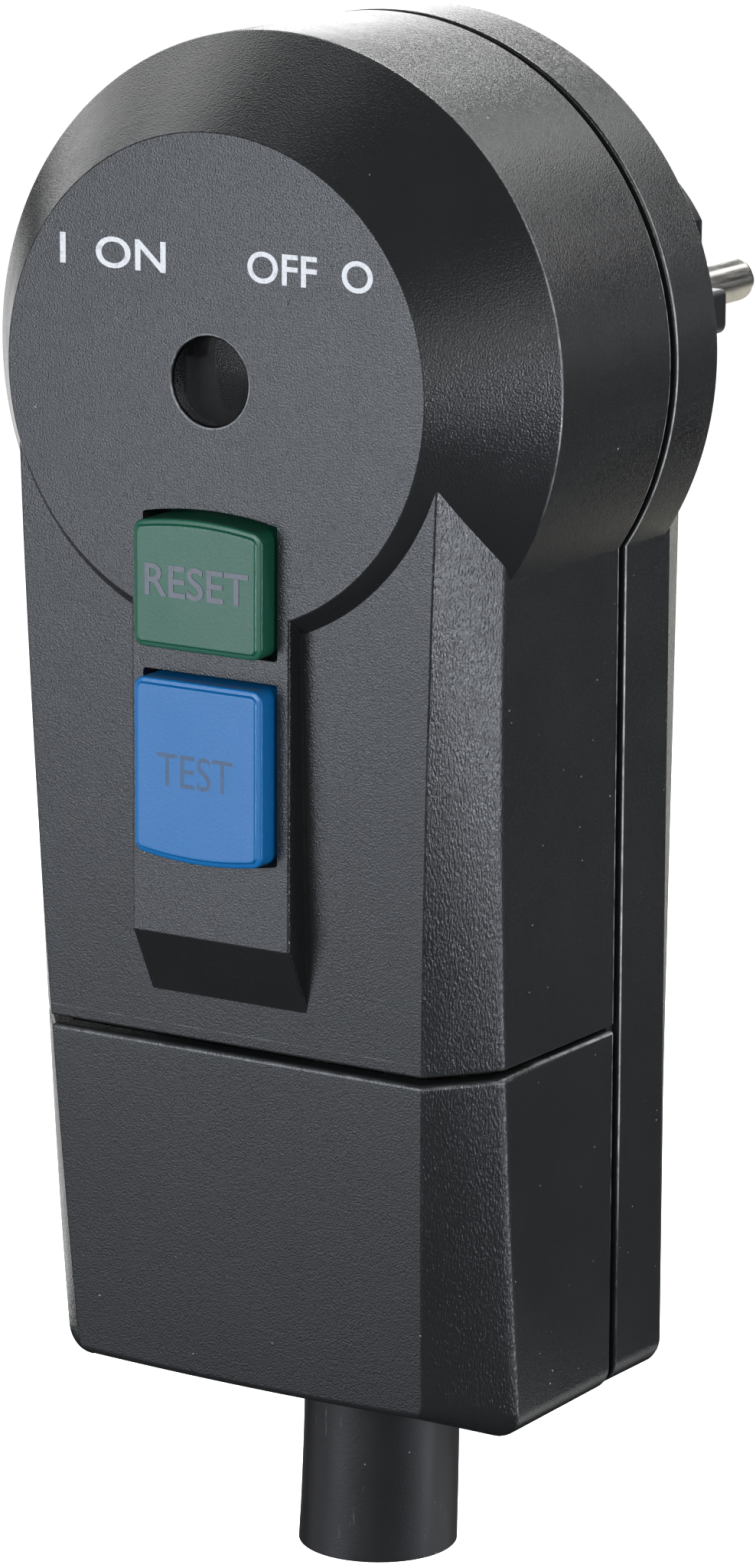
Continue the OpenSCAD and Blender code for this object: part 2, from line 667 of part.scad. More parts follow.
front_housing();
rear_housing();
terminal_cover();
housing_gasket();
housing_screws();
cover_screws();
plug_insert();
line_pin();
neutral_pin();
earth_strap();
earth_socket();
window_lens();
reset_button();
test_button();
reset_spring();
test_spring();
mechanism_frame();
contact_carrier();
moving_contacts();
armature();
carrier_spring();
fixed_contacts();
solenoid_yoke();
solenoid_bobbin();
solenoid_coil();
indicator_drum();
drum_axle();
circuit_board();
board_screws();
toroid_core();
toroid_winding();
test_contact();
control_chip();
capacitors();
varistor();
resistors();
line_wire();
neutral_wire();
earth_wire();
terminal_block();
terminal_clamps();
terminal_screws();
cord_clamp();
cord_clamp_screws();
cable_sleeve();
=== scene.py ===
import json
import math

import bmesh
import bpy
from mathutils import Matrix, Vector


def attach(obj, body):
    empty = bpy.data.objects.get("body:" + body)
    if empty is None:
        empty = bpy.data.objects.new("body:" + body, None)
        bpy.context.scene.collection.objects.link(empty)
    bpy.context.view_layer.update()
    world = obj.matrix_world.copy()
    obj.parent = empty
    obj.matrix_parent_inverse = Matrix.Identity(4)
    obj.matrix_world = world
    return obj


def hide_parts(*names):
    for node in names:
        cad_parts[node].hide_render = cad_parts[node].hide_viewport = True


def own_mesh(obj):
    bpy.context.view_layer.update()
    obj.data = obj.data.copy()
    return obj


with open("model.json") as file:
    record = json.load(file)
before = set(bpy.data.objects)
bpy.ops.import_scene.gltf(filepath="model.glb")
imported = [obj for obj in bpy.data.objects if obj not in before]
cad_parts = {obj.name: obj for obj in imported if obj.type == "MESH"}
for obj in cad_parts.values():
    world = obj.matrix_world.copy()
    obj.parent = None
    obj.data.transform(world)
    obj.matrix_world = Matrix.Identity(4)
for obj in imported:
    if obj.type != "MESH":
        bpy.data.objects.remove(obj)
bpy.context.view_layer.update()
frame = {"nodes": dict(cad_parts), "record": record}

scene = bpy.context.scene
scene.view_settings.view_transform = "Standard"
scene.view_settings.look = "None"

# ---------------------------------------------------------------- dimensions
# Millimetres, with depth y counted from the flat front disc, as in the part.
FACE = 70.0                       # depth of the boss's engagement face
HEAD_R, DISC_R, CONE = 34.0, 25.0, 11.4
HW = 28.2                         # half width of the body
WALL = 2.2
FRONT_EDGE, REAR_EDGE = 32.55, 33.65
BULK_Z, COVER_Z, BOTTOM_Z = -69.4, -70.2, -109.1
FOOT_Z = -109.6                   # lowest line of the terminal cover
WINDOW_R = 4.65
CAP_HW, CAP_GAP, CAP_OUT, ARCH_R = 7.8, 0.35, 2.6, 41.0
RESET_TOP, RESET_BOT, TEST_TOP, TEST_BOT = -13.4, -27.3, -30.35, -49.2
RESET_Z, TEST_Z = -20.3, -39.6
PLINTH_HW = 9.6
BOSS_R, COLLAR_R, COLLAR_Y, HEAD_BACK = 18.45, 24.0, 52.5, 42.0
SLEEVE_Y, SLEEVE_R, SLEEVE_BORE, SLEEVE_END = 32.6, 8.35, 5.75, -130.75
MID = -0.35                       # window, plinth and buttons sit a little left of the middle
SCREWS = [(21.0, 19.0), (22.3, -63.5), (19.5, -99.0)]


def below(z):
    return max(0.0, -z - 18.0)


def front_y(z):
    return 2.06 + 0.00875 * below(z) + 0.00046 * below(z) ** 2


def front_hw(z):
    return 25.2 + 0.0394 * (z + 9.0)


def cham_y(z):
    return 10.27 - 0.0347 * below(z) + 0.00088 * below(z) ** 2


# ------------------------------------------------------------- mesh helpers
def fillet(points, radii, seg=5):
    """Closed polygon with its corners rounded; a radius of 0 keeps the corner."""
    out, n = [], len(points)
    for i, (p, r) in enumerate(zip(points, radii)):
        a, b = points[i - 1], points[(i + 1) % n]
        p_, a_, b_ = Vector(p), Vector(a), Vector(b)
        if r <= 0:
            out.append(tuple(p))
            continue
        u, w = (a_ - p_).normalized(), (b_ - p_).normalized()
        half = math.acos(max(-1.0, min(1.0, u.dot(w)))) / 2
        if half > math.pi / 2 - 0.01:
            out += [tuple(p)] * (seg + 1)
            continue
        c = p_ + (u + w).normalized() * (r / math.sin(half))
        s, e = p_ + u * (r / math.tan(half)) - c, p_ + w * (r / math.tan(half)) - c
        a0 = math.atan2(s.y, s.x)
        turn = math.atan2(s.x * e.y - s.y * e.x, s.dot(e))
        for k in range(seg + 1):
            t = a0 + turn * k / seg
            out.append((c.x + r * math.cos(t), c.y + r * math.sin(t)))
    return out


def solid(name, verts, faces):
    me = bpy.data.meshes.new(name)
    bm = bmesh.new()
    vs = [bm.verts.new(v) for v in verts]
    for f in faces:
        try:
            bm.faces.new([vs[i] for i in f])
        except ValueError:
            pass
    bmesh.ops.remove_doubles(bm, verts=bm.verts, dist=1e-5)
    bmesh.ops.dissolve_degenerate(bm, edges=bm.edges, dist=1e-5)
    bmesh.ops.recalc_face_normals(bm, faces=bm.faces)
    bm.to_mesh(me)
    bm.free()
    ob = bpy.data.objects.new(name, me)
    scene.collection.objects.link(ob)
    return ob


def revolve(name, prof, n=240, axis="y", at=(0.0, 0.0)):
    """Turned solid from a profile of (radius, height) that starts and ends on the axis."""
    verts, rings = [], []
    for r, h in prof:
        if r < 1e-6:
            rings.append([len(verts)])
            verts.append((at[0], h, at[1]) if axis == "y" else (at[0], at[1], h))
            continue
        ring = []
        for i in range(n):
            a = 2 * math.pi * (i + 0.5) / n
            ring.append(len(verts))
            c, s = r * math.cos(a), r * math.sin(a)
            verts.append((at[0] + c, h, at[1] + s) if axis == "y" else (at[0] + c, at[1] + s, h))
        rings.append(ring)
    faces = []
    for p, q in zip(rings, rings[1:]):
        for i in range(n):
            j = (i + 1) % n
            if len(p) == 1 and len(q) > 1:
                faces.append((p[0], q[i], q[j]))
            elif len(q) == 1 and len(p) > 1:
                faces.append((p[i], q[0], p[j]))
            elif len(p) > 1:
                faces.append((p[i], q[i], q[j], p[j]))
    return solid(name, verts, faces)


def loft(name, rings):
    n = len(rings[0])
    verts = [p for r in rings for p in r]
    last = (len(rings) - 1) * n
    faces = [tuple(range(n)), tuple(last + j for j in range(n - 1, -1, -1))]
    for i in range(len(rings) - 1):
        for j in range(n):
            k = (j + 1) % n
            faces.append((i * n + j, (i + 1) * n + j, (i + 1) * n + k, i * n + k))
    return solid(name, verts, faces)


def rod(name, x, z, y0, y1, r, n=64):
    return revolve(name, [(0, y0), (r, y0), (r, y1), (0, y1)], n, "y", (x, z))


def block(name, a, b):
    return loft(name, [[(a[0], y, a[2]), (b[0], y, a[2]), (b[0], y, b[2]), (a[0], y, b[2])] for y in (a[1], b[1])])


def combine(a, b, op):
    mod = a.modifiers.new("cut", "BOOLEAN")
    mod.operation, mod.object, mod.solver = op, b, "MANIFOLD"
    me = bpy.data.meshes.new_from_object(a.evaluated_get(bpy.context.evaluated_depsgraph_get()))
    a.modifiers.clear()
    old, a.data = a.data, me
    bpy.data.meshes.remove(old)
    gone = b.data
    bpy.data.objects.remove(b, do_unlink=True)
    bpy.data.meshes.remove(gone)
    return a


def join(a, *others):
    for b in others:
        combine(a, b, "UNION")
    return a


def cut(a, *others):
    for b in others:
        combine(a, b, "DIFFERENCE")
    return a


def common(a, b):
    return combine(a, b, "INTERSECT")


def polish(ob, name, angle=20.5):
    """Bring a finished solid into the shared frame, in metres, with clean flat faces and soft rounds."""
    bm = bmesh.new()
    bm.from_mesh(ob.data)
    bmesh.ops.remove_doubles(bm, verts=bm.verts, dist=2e-4)
    bmesh.ops.dissolve_degenerate(bm, edges=bm.edges, dist=2e-4)
    for v in bm.verts:
        v.co = Vector((v.co.x, v.co.y - FACE, v.co.z)) * 0.001
    bm.normal_update()
    lim = math.radians(angle)
    for f in bm.faces:
        f.smooth = True
    for e in bm.edges:
        e.smooth = len(e.link_faces) == 2 and e.calc_face_angle(0.0) < lim
    bm.to_mesh(ob.data)
    bm.free()
    mod = ob.modifiers.new("normals", "WEIGHTED_NORMAL")
    mod.keep_sharp, mod.weight, mod.mode = True, 50, "FACE_AREA"
    me = bpy.data.meshes.new_from_object(ob.evaluated_get(bpy.context.evaluated_depsgraph_get()))
    ob.modifiers.clear()
    old, ob.data = ob.data, me
    bpy.data.meshes.remove(old)
    ob.name = ob.data.name = name
    return ob


# ------------------------------------------------------------ front shells
def outline(z, t=0.0, e=0.0, yb=FRONT_EDGE, rf=0.3, rs=2.4, rb=0.3, seg=5, ef=None):
    """The body's section at height z, set in by t, its sides drawn in by a further e (ef at the front)."""
    wf, yf, yc = front_hw(z), front_y(z), cham_y(z)
    dx, dy = HW - wf, yc - yf
    ln = math.hypot(dx, dy)
    wi = wf - t * dy / ln + (t - t * dx / ln) / dy * dx - (e if ef is None else ef)
    yi = yf + t * dx / ln + (HW - t - wf + t * dy / ln) / dx * dy
    hw = HW - t - e
    front = [(wi * (i / 8.0 - 1.0), yf + t) for i in range(17)]
    bow = []
    for i in range(1, 6):
        u, b = i / 6.0, 0.17 * 4 * (i / 6.0) * (1 - i / 6.0)
        bow.append((wi + (hw - wi) * u + b * dy / ln, yf + t + (yi - yf - t) * u - b * dx / ln))
    pts = fillet(front + bow + [(hw, yi), (hw, yb - t), (-hw, yb - t), (-hw, yi)] + [(-x, y) for x, y in reversed(bow)],
                 [rf] + [0.0] * 15 + [rf] + [0.0] * 5 + [rs, rb, rb, rs] + [0.0] * 5, seg)
    return [(x, y, z) for x, y in pts]


def flat_outline(z, t, yb):
    return outline(z, t, 0.0, yb + t, 0.0, 0.0, 0.0)


def rounds(r, k=6):
    """Steps of a quarter round: (drop towards the end, inset)."""
    return [(r * math.sin(math.pi / 2 * i / k), r * (1 - math.cos(math.pi / 2 * i / k))) for i in range(1, k + 1)]


def spread(a, b, n):
    return [a + (b - a) * i / n for i in range(n + 1)]


def cap_outline(grow, reset, corner=0.9, seg=5, arch=14):
    """Outline of a button, in the front plane: flat at one end, arched at the other."""
    w, r = CAP_HW + grow, ARCH_R + grow
    if reset:
        cz, flat, s = RESET_TOP - ARCH_R, RESET_BOT - grow, 1
    else:
        cz, flat, s = TEST_BOT + ARCH_R, TEST_TOP + grow, -1
    half = math.asin(w / r)
    pts, rad = [(-w, flat), (w, flat)], [corner, corner]
    for i in range(arch + 1):
        a = half * (1 - 2 * i / arch)
        pts.append((r * math.sin(a), cz + s * r * math.cos(a)))
        rad.append(corner if i in (0, arch) else 0.0)
    return [(x + MID, z) for x, z in fillet(pts, rad, seg)]


def cap_prism(name, grow, reset, y0, y1, corner=0.9):
    o = cap_outline(grow, reset, corner)
    return loft(name, [[(x, y, z) for x, z in o] for y in (y0, y1)])


def front_outer():
    prof = fillet([(0, 0), (DISC_R, 0), (HEAD_R, CONE), (HEAD_R, FRONT_EDGE), (0, FRONT_EDGE)],
                  [0, 0.22, 0.5, 0.3, 0], 5)
    head = revolve("head", prof, 288)
    body = loft("body", [outline(z) for z in spread(0.0, BULK_Z + 0.3, 46)]
                + [outline(BULK_Z + 0.3 - d, t) for d, t in rounds(0.3)])
    # plinth under the buttons, lofted across its width
    rings = []
    ends = [(PLINTH_HW - 0.3 + d, t) for d, t in rounds(0.3)]
    for x, t in [(-x, t) for x, t in reversed(ends)] + [(-PLINTH_HW + 0.3, 0.0), (PLINTH_HW - 0.3, 0.0)] + ends:
        slope = math.hypot(3.7, 7.5)
        z0 = -57.5 + t * (slope - 7.5) / 3.7     # corner of the plateau and the ramp, both set in by t
        p = fillet([(t, -12.0), (t, z0), (t + 5.55, z0 - 11.25), (9.0, z0 - 11.25), (9.0, -12.0)],
                   [0, 0.35, 0, 0, 0], 4)
        rings.append([(x + MID, y, z) for y, z in p])
    plinth = loft("plinth", rings)
    keep = block("keep", (-12, -1, BULK_Z + 1.0), (12, 8.0, -10.0))
    common(plinth, keep)
    return head, body, plinth


def build_front():
    head, body, plinth = front_outer()
    join(head, body, plinth)
    inner = revolve("inner", [(0, WALL), (DISC_R - 0.9, WALL), (HEAD_R - WALL, CONE + 0.6),
                              (HEAD_R - WALL, FRONT_EDGE + 1), (0, FRONT_EDGE + 1)], 144)
    join(inner, loft("inner_body", [flat_outline(z, WALL, FRONT_EDGE + 1) for z in spread(2.0, BULK_Z + WALL, 18)]))
    # the wall behind the buttons and the screw bosses are left standing
    cut(inner, block("backing", (-10.6, -1, -51.6), (10.6, 5, -11.6)))
    for x, z in SCREWS[:2]:
        for s in (-1, 1):
            cut(inner, rod("boss", s * x, z, -1, FRONT_EDGE + 2, 3.0, 48))
    cut(head, inner)
    for x, z in SCREWS[:2]:
        for s in (-1, 1):
            cut(head, rod("pilot", s * x, z, 18, FRONT_EDGE + 1, 1.45, 32))
    # window, with a slightly eased rim
    rim = [(WINDOW_R + 0.15 * (1 - math.sin(a)), 0.15 * (1 - math.cos(a))) for a in spread(math.pi / 12, math.pi / 2, 5)]
    cut(head, revolve("window", [(0, -1), (WINDOW_R + 0.17, -1), (WINDOW_R + 0.17, -0.002)] + rim
                      + [(WINDOW_R, 6), (0, 6)], 128, "y", (MID, 0.0)))
    for reset in (True, False):
        cut(head, cap_prism("hole", CAP_GAP, reset, -1, 8, 0.35))
    cut(head, block("wires", (-12, 14, BULK_Z - 1), (12, FRONT_EDGE + 1, BULK_Z + WALL + 1)))
    return polish(head, "shell_front")


def foot_rise(x, y):
    """How far the cover's bottom face rises at depth y; its front edge is slightly bowed."""
    bow = 0.45 * max(0.0, 1 - (x / 21.4) ** 2) * max(0.0, min(1.0, (14.5 - y) / 8.6))
    return max(0.0, 14.5 - y) * 0.42 + max(0.0, y - 14.5) * 0.02 - bow


def build_cover():
    top = [(COVER_Z - 0.55 + d, t) for d, t in rounds(0.55)]
    rings = [outline(z, t) for z, t in reversed(top)] + [outline(z) for z in spread(COVER_Z - 0.55, FOOT_Z + 12.0, 22)]
    for i in range(1, 12):
        z = FOOT_Z + 12.0 - 9.2 * i / 12
        rings.append([outline(z + foot_rise(p[0], p[1]) * i / 12)[j] for j, p in enumerate(outline(z))])
    # rounded bottom corners: wide at the sides, tighter at the front; the bottom face rises towards the front
    r, f, rc = 2.8, 0.5, 1.4
    for k in range(0, 15):
        z = r * (1 - math.sin(math.pi / 2 * k / 14))
        t, ef, e = (q * (1 - math.sqrt(max(0.0, 1 - max(0.0, 1 - z / q) ** 2))) for q in (f, rc, r))
        flat = outline(FOOT_Z + z, t, max(0.0, e - t), ef=max(0.0, ef - t))
        rings.append([outline(p[2] + foot_rise(p[0], p[1]), t, max(0.0, e - t), ef=max(0.0, ef - t))[j] for j, p in enumerate(flat)])
    # the joint above the cover closes up a little along the sides
    for ring in rings[:9]:
        for j, (x, y, z) in enumerate(ring):
            k = max(0.0, min(1.0, (y - 10.0) / 12.0)) * max(0.0, min(1.0, (z - COVER_Z + 4.0) / 3.0))
            ring[j] = (x, y, z + 0.36 * k)
    cover = loft("cover", rings)
    inner = loft("inner", [flat_outline(z, WALL, FRONT_EDGE + 1) for z in spread(COVER_Z + 1, BOTTOM_Z + WALL, 12)])
    slope = [(0.0, BOTTOM_Z + 7.0), (14.2, BOTTOM_Z + WALL + 0.1), (14.2, -130.0), (0.0, -130.0)]
    cut(inner, loft("slope", [[(x, y, z) for y, z in slope] for x in (-40.0, 40.0)]))
    for s in (-1, 1):
        cut(inner, rod("boss", s * SCREWS[2][0], SCREWS[2][1], -1, FRONT_EDGE + 2, 3.2, 48))
    cut(cover, inner)
    for s in (-1, 1):
        cut(cover, rod("pilot", s * SCREWS[2][0], SCREWS[2][1], 18, FRONT_EDGE + 1, 1.45, 32))
    cut(cover, sleeve_hole())
    return polish(cover, "shell_cover")


def sleeve_hole():
    z = BOTTOM_Z
    return revolve("hole", [(0, z - 1), (SLEEVE_R + 1.5, z - 1), (SLEEVE_R + 0.4, z), (SLEEVE_R + 0.1, z + 0.3),
                            (SLEEVE_R + 0.1, z + 5.2), (0, z + 5.2)], 96, "z", (0.0, SLEEVE_Y))


# -------------------------------------------------------------- rear shell
def rear_section(z, t=0.0, e=0.0, seg=4):
    k = max(0.0, min(1.0, (z + 78.0) / 62.0))
    hw, yb = HW - e - t, 43.5 + 2.4 * k - t
    pts = [(hw, REAR_EDGE), (hw, 42.6), (hw - 0.3 - 0.5 * k, yb), (-hw + 0.3 + 0.5 * k, yb), (-hw, 42.6), (-hw, REAR_EDGE)]
    return [(x, y, z) for x, y in fillet(pts, [0.3, 0.2, 0.4, 0.4, 0.2, 0.3], seg)]


def build_rear():
    prof = fillet([(0, REAR_EDGE), (HEAD_R, REAR_EDGE), (HEAD_R, HEAD_BACK), (COLLAR_R, HEAD_BACK),
                   (COLLAR_R, COLLAR_Y), (0, COLLAR_Y)], [0, 0.3, 0.3, 0.4, 1.0, 0], 5)
    head = revolve("rear", prof, 288)
    r, f = 3.0, 0.8
    rings = [rear_section(-16.0 - 0.5 + d, t) for d, t in reversed(rounds(0.5))]
    rings += [rear_section(z) for z in spread(-16.5, BOTTOM_Z + r, 26)]
    for k in range(1, 11):
        a = math.pi / 2 * k / 10
        z = r - r * math.sin(a)
        u = max(0.0, 1 - z / f)
        t = f * (1 - math.sqrt(max(0.0, 1 - u * u)))
        rings.append(rear_section(BOTTOM_Z + z, t, max(0.0, r * (1 - math.cos(a)) - t)))
    join(head, loft("rear_body", rings))
    inner = revolve("inner", [(0, REAR_EDGE - 1), (HEAD_R - WALL, REAR_EDGE - 1), (HEAD_R - WALL, HEAD_BACK - WALL),
                              (0, HEAD_BACK - WALL)], 144)
    common(inner, block("upper", (-40, 0, -14.0), (40, 60, 40)))
    join(inner, block("lower", (-HW + WALL, REAR_EDGE - 1, BOTTOM_Z + WALL), (HW - WALL, 43 - WALL, -13.9)))
    for x, z in SCREWS:
        for s in (-1, 1):
            cut(inner, rod("column", s * x, z, 0, 60, 4.2, 48))
    cut(head, inner)
    cut(head, revolve("bore", fillet([(0, 30), (BOSS_R + 0.15, 30), (BOSS_R + 0.15, COLLAR_Y - 0.35),
                                      (BOSS_R + 0.5, COLLAR_Y), (BOSS_R + 1.5, COLLAR_Y + 1), (0, COLLAR_Y + 1)],
                                     [0, 0, 0, 0, 0, 0]), 192))
    for x, z in SCREWS:
        back = HEAD_BACK if z > -16 else 43.5 + 2.4 * max(0.0, min(1.0, (z + 78.0) / 62.0))
        for s in (-1, 1):
            cut(head, revolve("seat", [(0, 30), (1.7, 30), (1.7, 37.5), (3.2, 37.5), (3.2, back - 0.35),
                                       (3.55, back), (4.55, back + 1), (0, back + 1)], 64, "y", (s * x, z)))
    cut(head, sleeve_hole())
    return polish(head, "shell_rear")


# -------------------------------------------------------------- plug boss
def build_insert():
    base = revolve("insert", [(0, 37.6), (22, 37.6), (22, 39.8), (BOSS_R, 39.8), (BOSS_R, COLLAR_Y + 0.5),
                              (0, COLLAR_Y + 0.5)], 192)
    cut(base, block("flat", (-30, 37, -30), (30, 39.8, -18.6)))
    boss = revolve("boss", fillet([(0, 50), (BOSS_R, 50), (BOSS_R, FACE), (0, FACE)], [0, 0, 0.7, 0], 5), 192)
    slab = loft("slab", [[(x, y, z) for x, z in fillet([(-15.9 + t, -22 + t), (15.9 - t, -22 + t), (15.9 - t, 22 - t),
                                                        (-15.9 + t, 22 - t)], [0, 0, 0, 0])]
                         for y, t in [(49.0, 0.0), (FACE - 0.5, 0.0)] + [(FACE - 0.5 + d, t) for d, t in rounds(0.5)]])
    common(boss, slab)
    join(base, boss)
    for s in (-1, 1):
        rings = []
        for y, t in [(COLLAR_Y, 0.0), (FACE - 0.45, 0.0)] + [(FACE - 0.45 + d, t) for d, t in rounds(0.45)]:
            o = fillet([(10, -2.75 + t), (18.95 - t, -2.75 + t), (18.95 - t, 2.05 - t), (10, 2.05 - t)], [0, 1.0, 0.6, 0], 5)
            rings.append([(s * x, y, z) for x, z in o])
        join(base, loft("rib", rings))
        cut(base, rod("pin_hole", s * 9.5, 0, 36, FACE + 1, 2.65, 64))
        cut(base, block("recess", (-6.2, COLLAR_Y + 0.5, 15.1) if s > 0 else (-6.2, COLLAR_Y + 0.5, -20),
                        (6.2, FACE + 1, 20) if s > 0 else (6.2, FACE + 1, -15.1)))
        cut(base, block("slot", (-3.4, 37, 15.0) if s > 0 else (-3.4, 37, -16.5),
                        (3.4, FACE + 0.5, 16.5) if s > 0 else (3.4, FACE + 0.5, -15.0)))
    cut(base, revolve("socket", [(0, 37), (3.15, 37), (3.15, FACE - 0.4), (3.55, FACE), (4.55, FACE + 1), (0, FACE + 1)],
                      64, "y", (0, 10)))
    return polish(base, "plug_boss")


# ----------------------------------------------------------------- buttons
def build_button(reset, stem_z, stem_end, name):
    # side profile of the cap as (inset, depth): nearly flat face, soft round edge, straight side
    prof = fillet([(4.0, -CAP_OUT), (1.0, -CAP_OUT), (0.66, -CAP_OUT), (0.56, -CAP_OUT + 0.26), (0.04, -CAP_OUT + 0.36), (0.0, 5.1), (4.0, 9.0)],
                  [0, 0, 0.2, 0.08, 0.24, 0, 0], 5)[:-1]
    rings = []
    for d, y in prof:
        rings.append([(x, y, z - (0.3 * (z - RESET_BOT) / (RESET_TOP - RESET_BOT) if reset else 0.0))
                      for x, z in cap_outline(-d, reset, max(0.25, 1.25 - d))])
    for d, y in [(-1.15, 5.1), (-1.15, 6.6)]:
        rings.append([(x, y, z) for x, z in cap_outline(-d, reset, 1.25)])
    cap = loft("cap", rings)
    join(cap, rod("stem", 0, stem_z, 6.0, stem_end, 2.5, 48))
    return polish(cap, name, 20.0)


# ------------------------------------------------------------ rubber sleeve
def build_sleeve():
    z0, top = SLEEVE_END, BOTTOM_Z + 5.0
    prof = fillet([(0, z0), (SLEEVE_R + 0.2, z0), (SLEEVE_R + 0.12, z0 + 4.0), (SLEEVE_R, z0 + 14.0), (SLEEVE_R, top), (0, top)],
                  [0, 0.22, 3.0, 6.0, 0.3, 0], 6)
    body = []
    for (r, z), (r2, z2) in zip(prof, prof[1:]):
        n = 12 if z2 - z > 8 else 1
        body += [(r + (r2 - r) * i / n, z + (z2 - z) * i / n) for i in range(n)]
    outer = revolve("sleeve", body + [prof[-1]], 160, "z", (0.0, SLEEVE_Y))
    cut(outer, revolve("bore", [(0, z0 - 1), (SLEEVE_BORE + 1.4, z0 - 1), (SLEEVE_BORE + 0.4, z0), (SLEEVE_BORE, z0 + 0.4),
                                (SLEEVE_BORE, top + 1), (0, top + 1)], 96, "z", (0.0, SLEEVE_Y)))
    # the rubber hangs a touch out of true
    for v in outer.data.vertices:
        k = max(0.0, BOTTOM_Z - v.co.z) / (BOTTOM_Z - z0)
        v.co.x -= 0.15 + 0.5 * k * k
    return polish(outer, "sleeve_rubber", 24.0)


# ------------------------------------------------------------ window lens
def build_lens():
    prof = fillet([(0, 0.25), (WINDOW_R - 0.08, 0.25), (WINDOW_R - 0.08, 2.2), (6.2, 2.2), (6.2, 3.4), (0, 3.4)], [0, 0.14, 0, 0.2, 0.2, 0], 5)
    return polish(revolve("lens", prof, 128, "y", (MID, 0.0)), "lens_window")


# ----------------------------------------------------------------- springs
def build_spring(name, z, y0, length, r, wire, turns):
    """Coil spring along y with a closed coil at each end."""
    n, sides, verts, faces = turns * 36, 10, [], []
    for i in range(n + 1):
        u = i / n
        a = 2 * math.pi * turns * u
        rise = max(0.0, min(1.0, (u * turns - 0.6) / (turns - 1.2)))
        c = Vector((r * math.cos(a), y0 + wire + (length - 2 * wire) * (0.06 * u + 0.94 * rise), z + r * math.sin(a)))
        out = Vector((math.cos(a), 0.0, math.sin(a)))
        for k in range(sides):
            b = 2 * math.pi * k / sides
            verts.append(tuple(c + (out * math.cos(b) + Vector((0.0, 1.0, 0.0)) * math.sin(b)) * wire))
    for i in range(n):
        for k in range(sides):
            q = (k + 1) % sides
            faces.append((i * sides + k, (i + 1) * sides + k, (i + 1) * sides + q, i * sides + q))
    faces += [tuple(range(sides)), tuple(n * sides + k for k in range(sides - 1, -1, -1))]
    return polish(solid(name, verts, faces), name, 50.0)


# --------------------------------------------------------------- lettering
def lettering(name, text, x0, x1, z0, z1, y, thick, weight=0.0):
    """Printed letters in the front plane, fitted to a box, lying on depth y."""
    cu = bpy.data.curves.new(name, "FONT")
    cu.body, cu.size, cu.resolution_u, cu.offset = text, 1.0, 6, weight
    cu.extrude = 0.01
    tmp = bpy.data.objects.new(name, cu)
    scene.collection.objects.link(tmp)
    me = bpy.data.meshes.new_from_object(tmp.evaluated_get(bpy.context.evaluated_depsgraph_get()))
    bpy.data.objects.remove(tmp, do_unlink=True)
    bpy.data.curves.remove(cu)
    xs, ys = [v.co.x for v in me.vertices], [v.co.y for v in me.vertices]
    for v in me.vertices:
        x = x0 + (v.co.x - min(xs)) / (max(xs) - min(xs)) * (x1 - x0)
        z = z0 + (v.co.y - min(ys)) / (max(ys) - min(ys)) * (z1 - z0)
        d = y - thick if v.co.z > 0 else y + 0.05
        v.co = (x * 0.001, (d - FACE) * 0.001, z * 0.001)
    ob = bpy.data.objects.new(name, me)
    scene.collection.objects.link(ob)
    return ob


# --------------------------------------------------------------- materials
def nodes_of(name):
    m = bpy.data.materials.new(name)
    m.use_nodes = True
    nt = m.node_tree
    return m, nt, nt.nodes["Principled BSDF"]


def add(nt, kind, **values):
    n = nt.nodes.new(kind)
    for k, v in values.items():
        if k in n.inputs.keys():
            n.inputs[k].default_value = v
        else:
            setattr(n, k, v)
    return n


def noise(nt, coord, scale, detail=3.0, rough=0.6):
    n = add(nt, "ShaderNodeTexNoise", Scale=scale, Detail=detail, Roughness=rough)
    nt.links.new(coord.outputs["Object"], n.inputs["Vector"])
    return n.outputs["Fac"]


def math_node(nt, op, a, b=None, c=None):
    n = add(nt, "ShaderNodeMath", operation=op)
    for i, v in enumerate((a, b, c)):
        if v is None:
            continue
        if isinstance(v, (int, float)):
            n.inputs[i].default_value = v
        else:
            nt.links.new(v, n.inputs[i])
    return n.outputs[0]


def spread_range(nt, value, lo, hi, to_lo, to_hi):
    n = add(nt, "ShaderNodeMapRange")
    nt.links.new(value, n.inputs["Value"])
    for k, v in (("From Min", lo), ("From Max", hi), ("To Min", to_lo), ("To Max", to_hi)):
        n.inputs[k].default_value = v
    return n.outputs["Result"]


def ramp(nt, value, stops):
    n = add(nt, "ShaderNodeValToRGB")
    el = n.color_ramp.elements
    while len(el) < len(stops):
        el.new(0.5)
    for e, (p, c) in zip(el, stops):
        e.position, e.color = p, (*c, 1.0)
    nt.links.new(value, n.inputs["Fac"])
    return n.outputs["Color"]


def mix(nt, fac, a, b):
    n = add(nt, "ShaderNodeMix", data_type="RGBA")
    nt.links.new(fac, n.inputs[0])
    for sock, v in ((n.inputs[6], a), (n.inputs[7], b)):
        if isinstance(v, tuple):
            sock.default_value = (*v, 1.0)
        else:
            nt.links.new(v, sock)
    return n.outputs[2]


def tone(c, k):
    return tuple(min(1.0, x * k) for x in c)


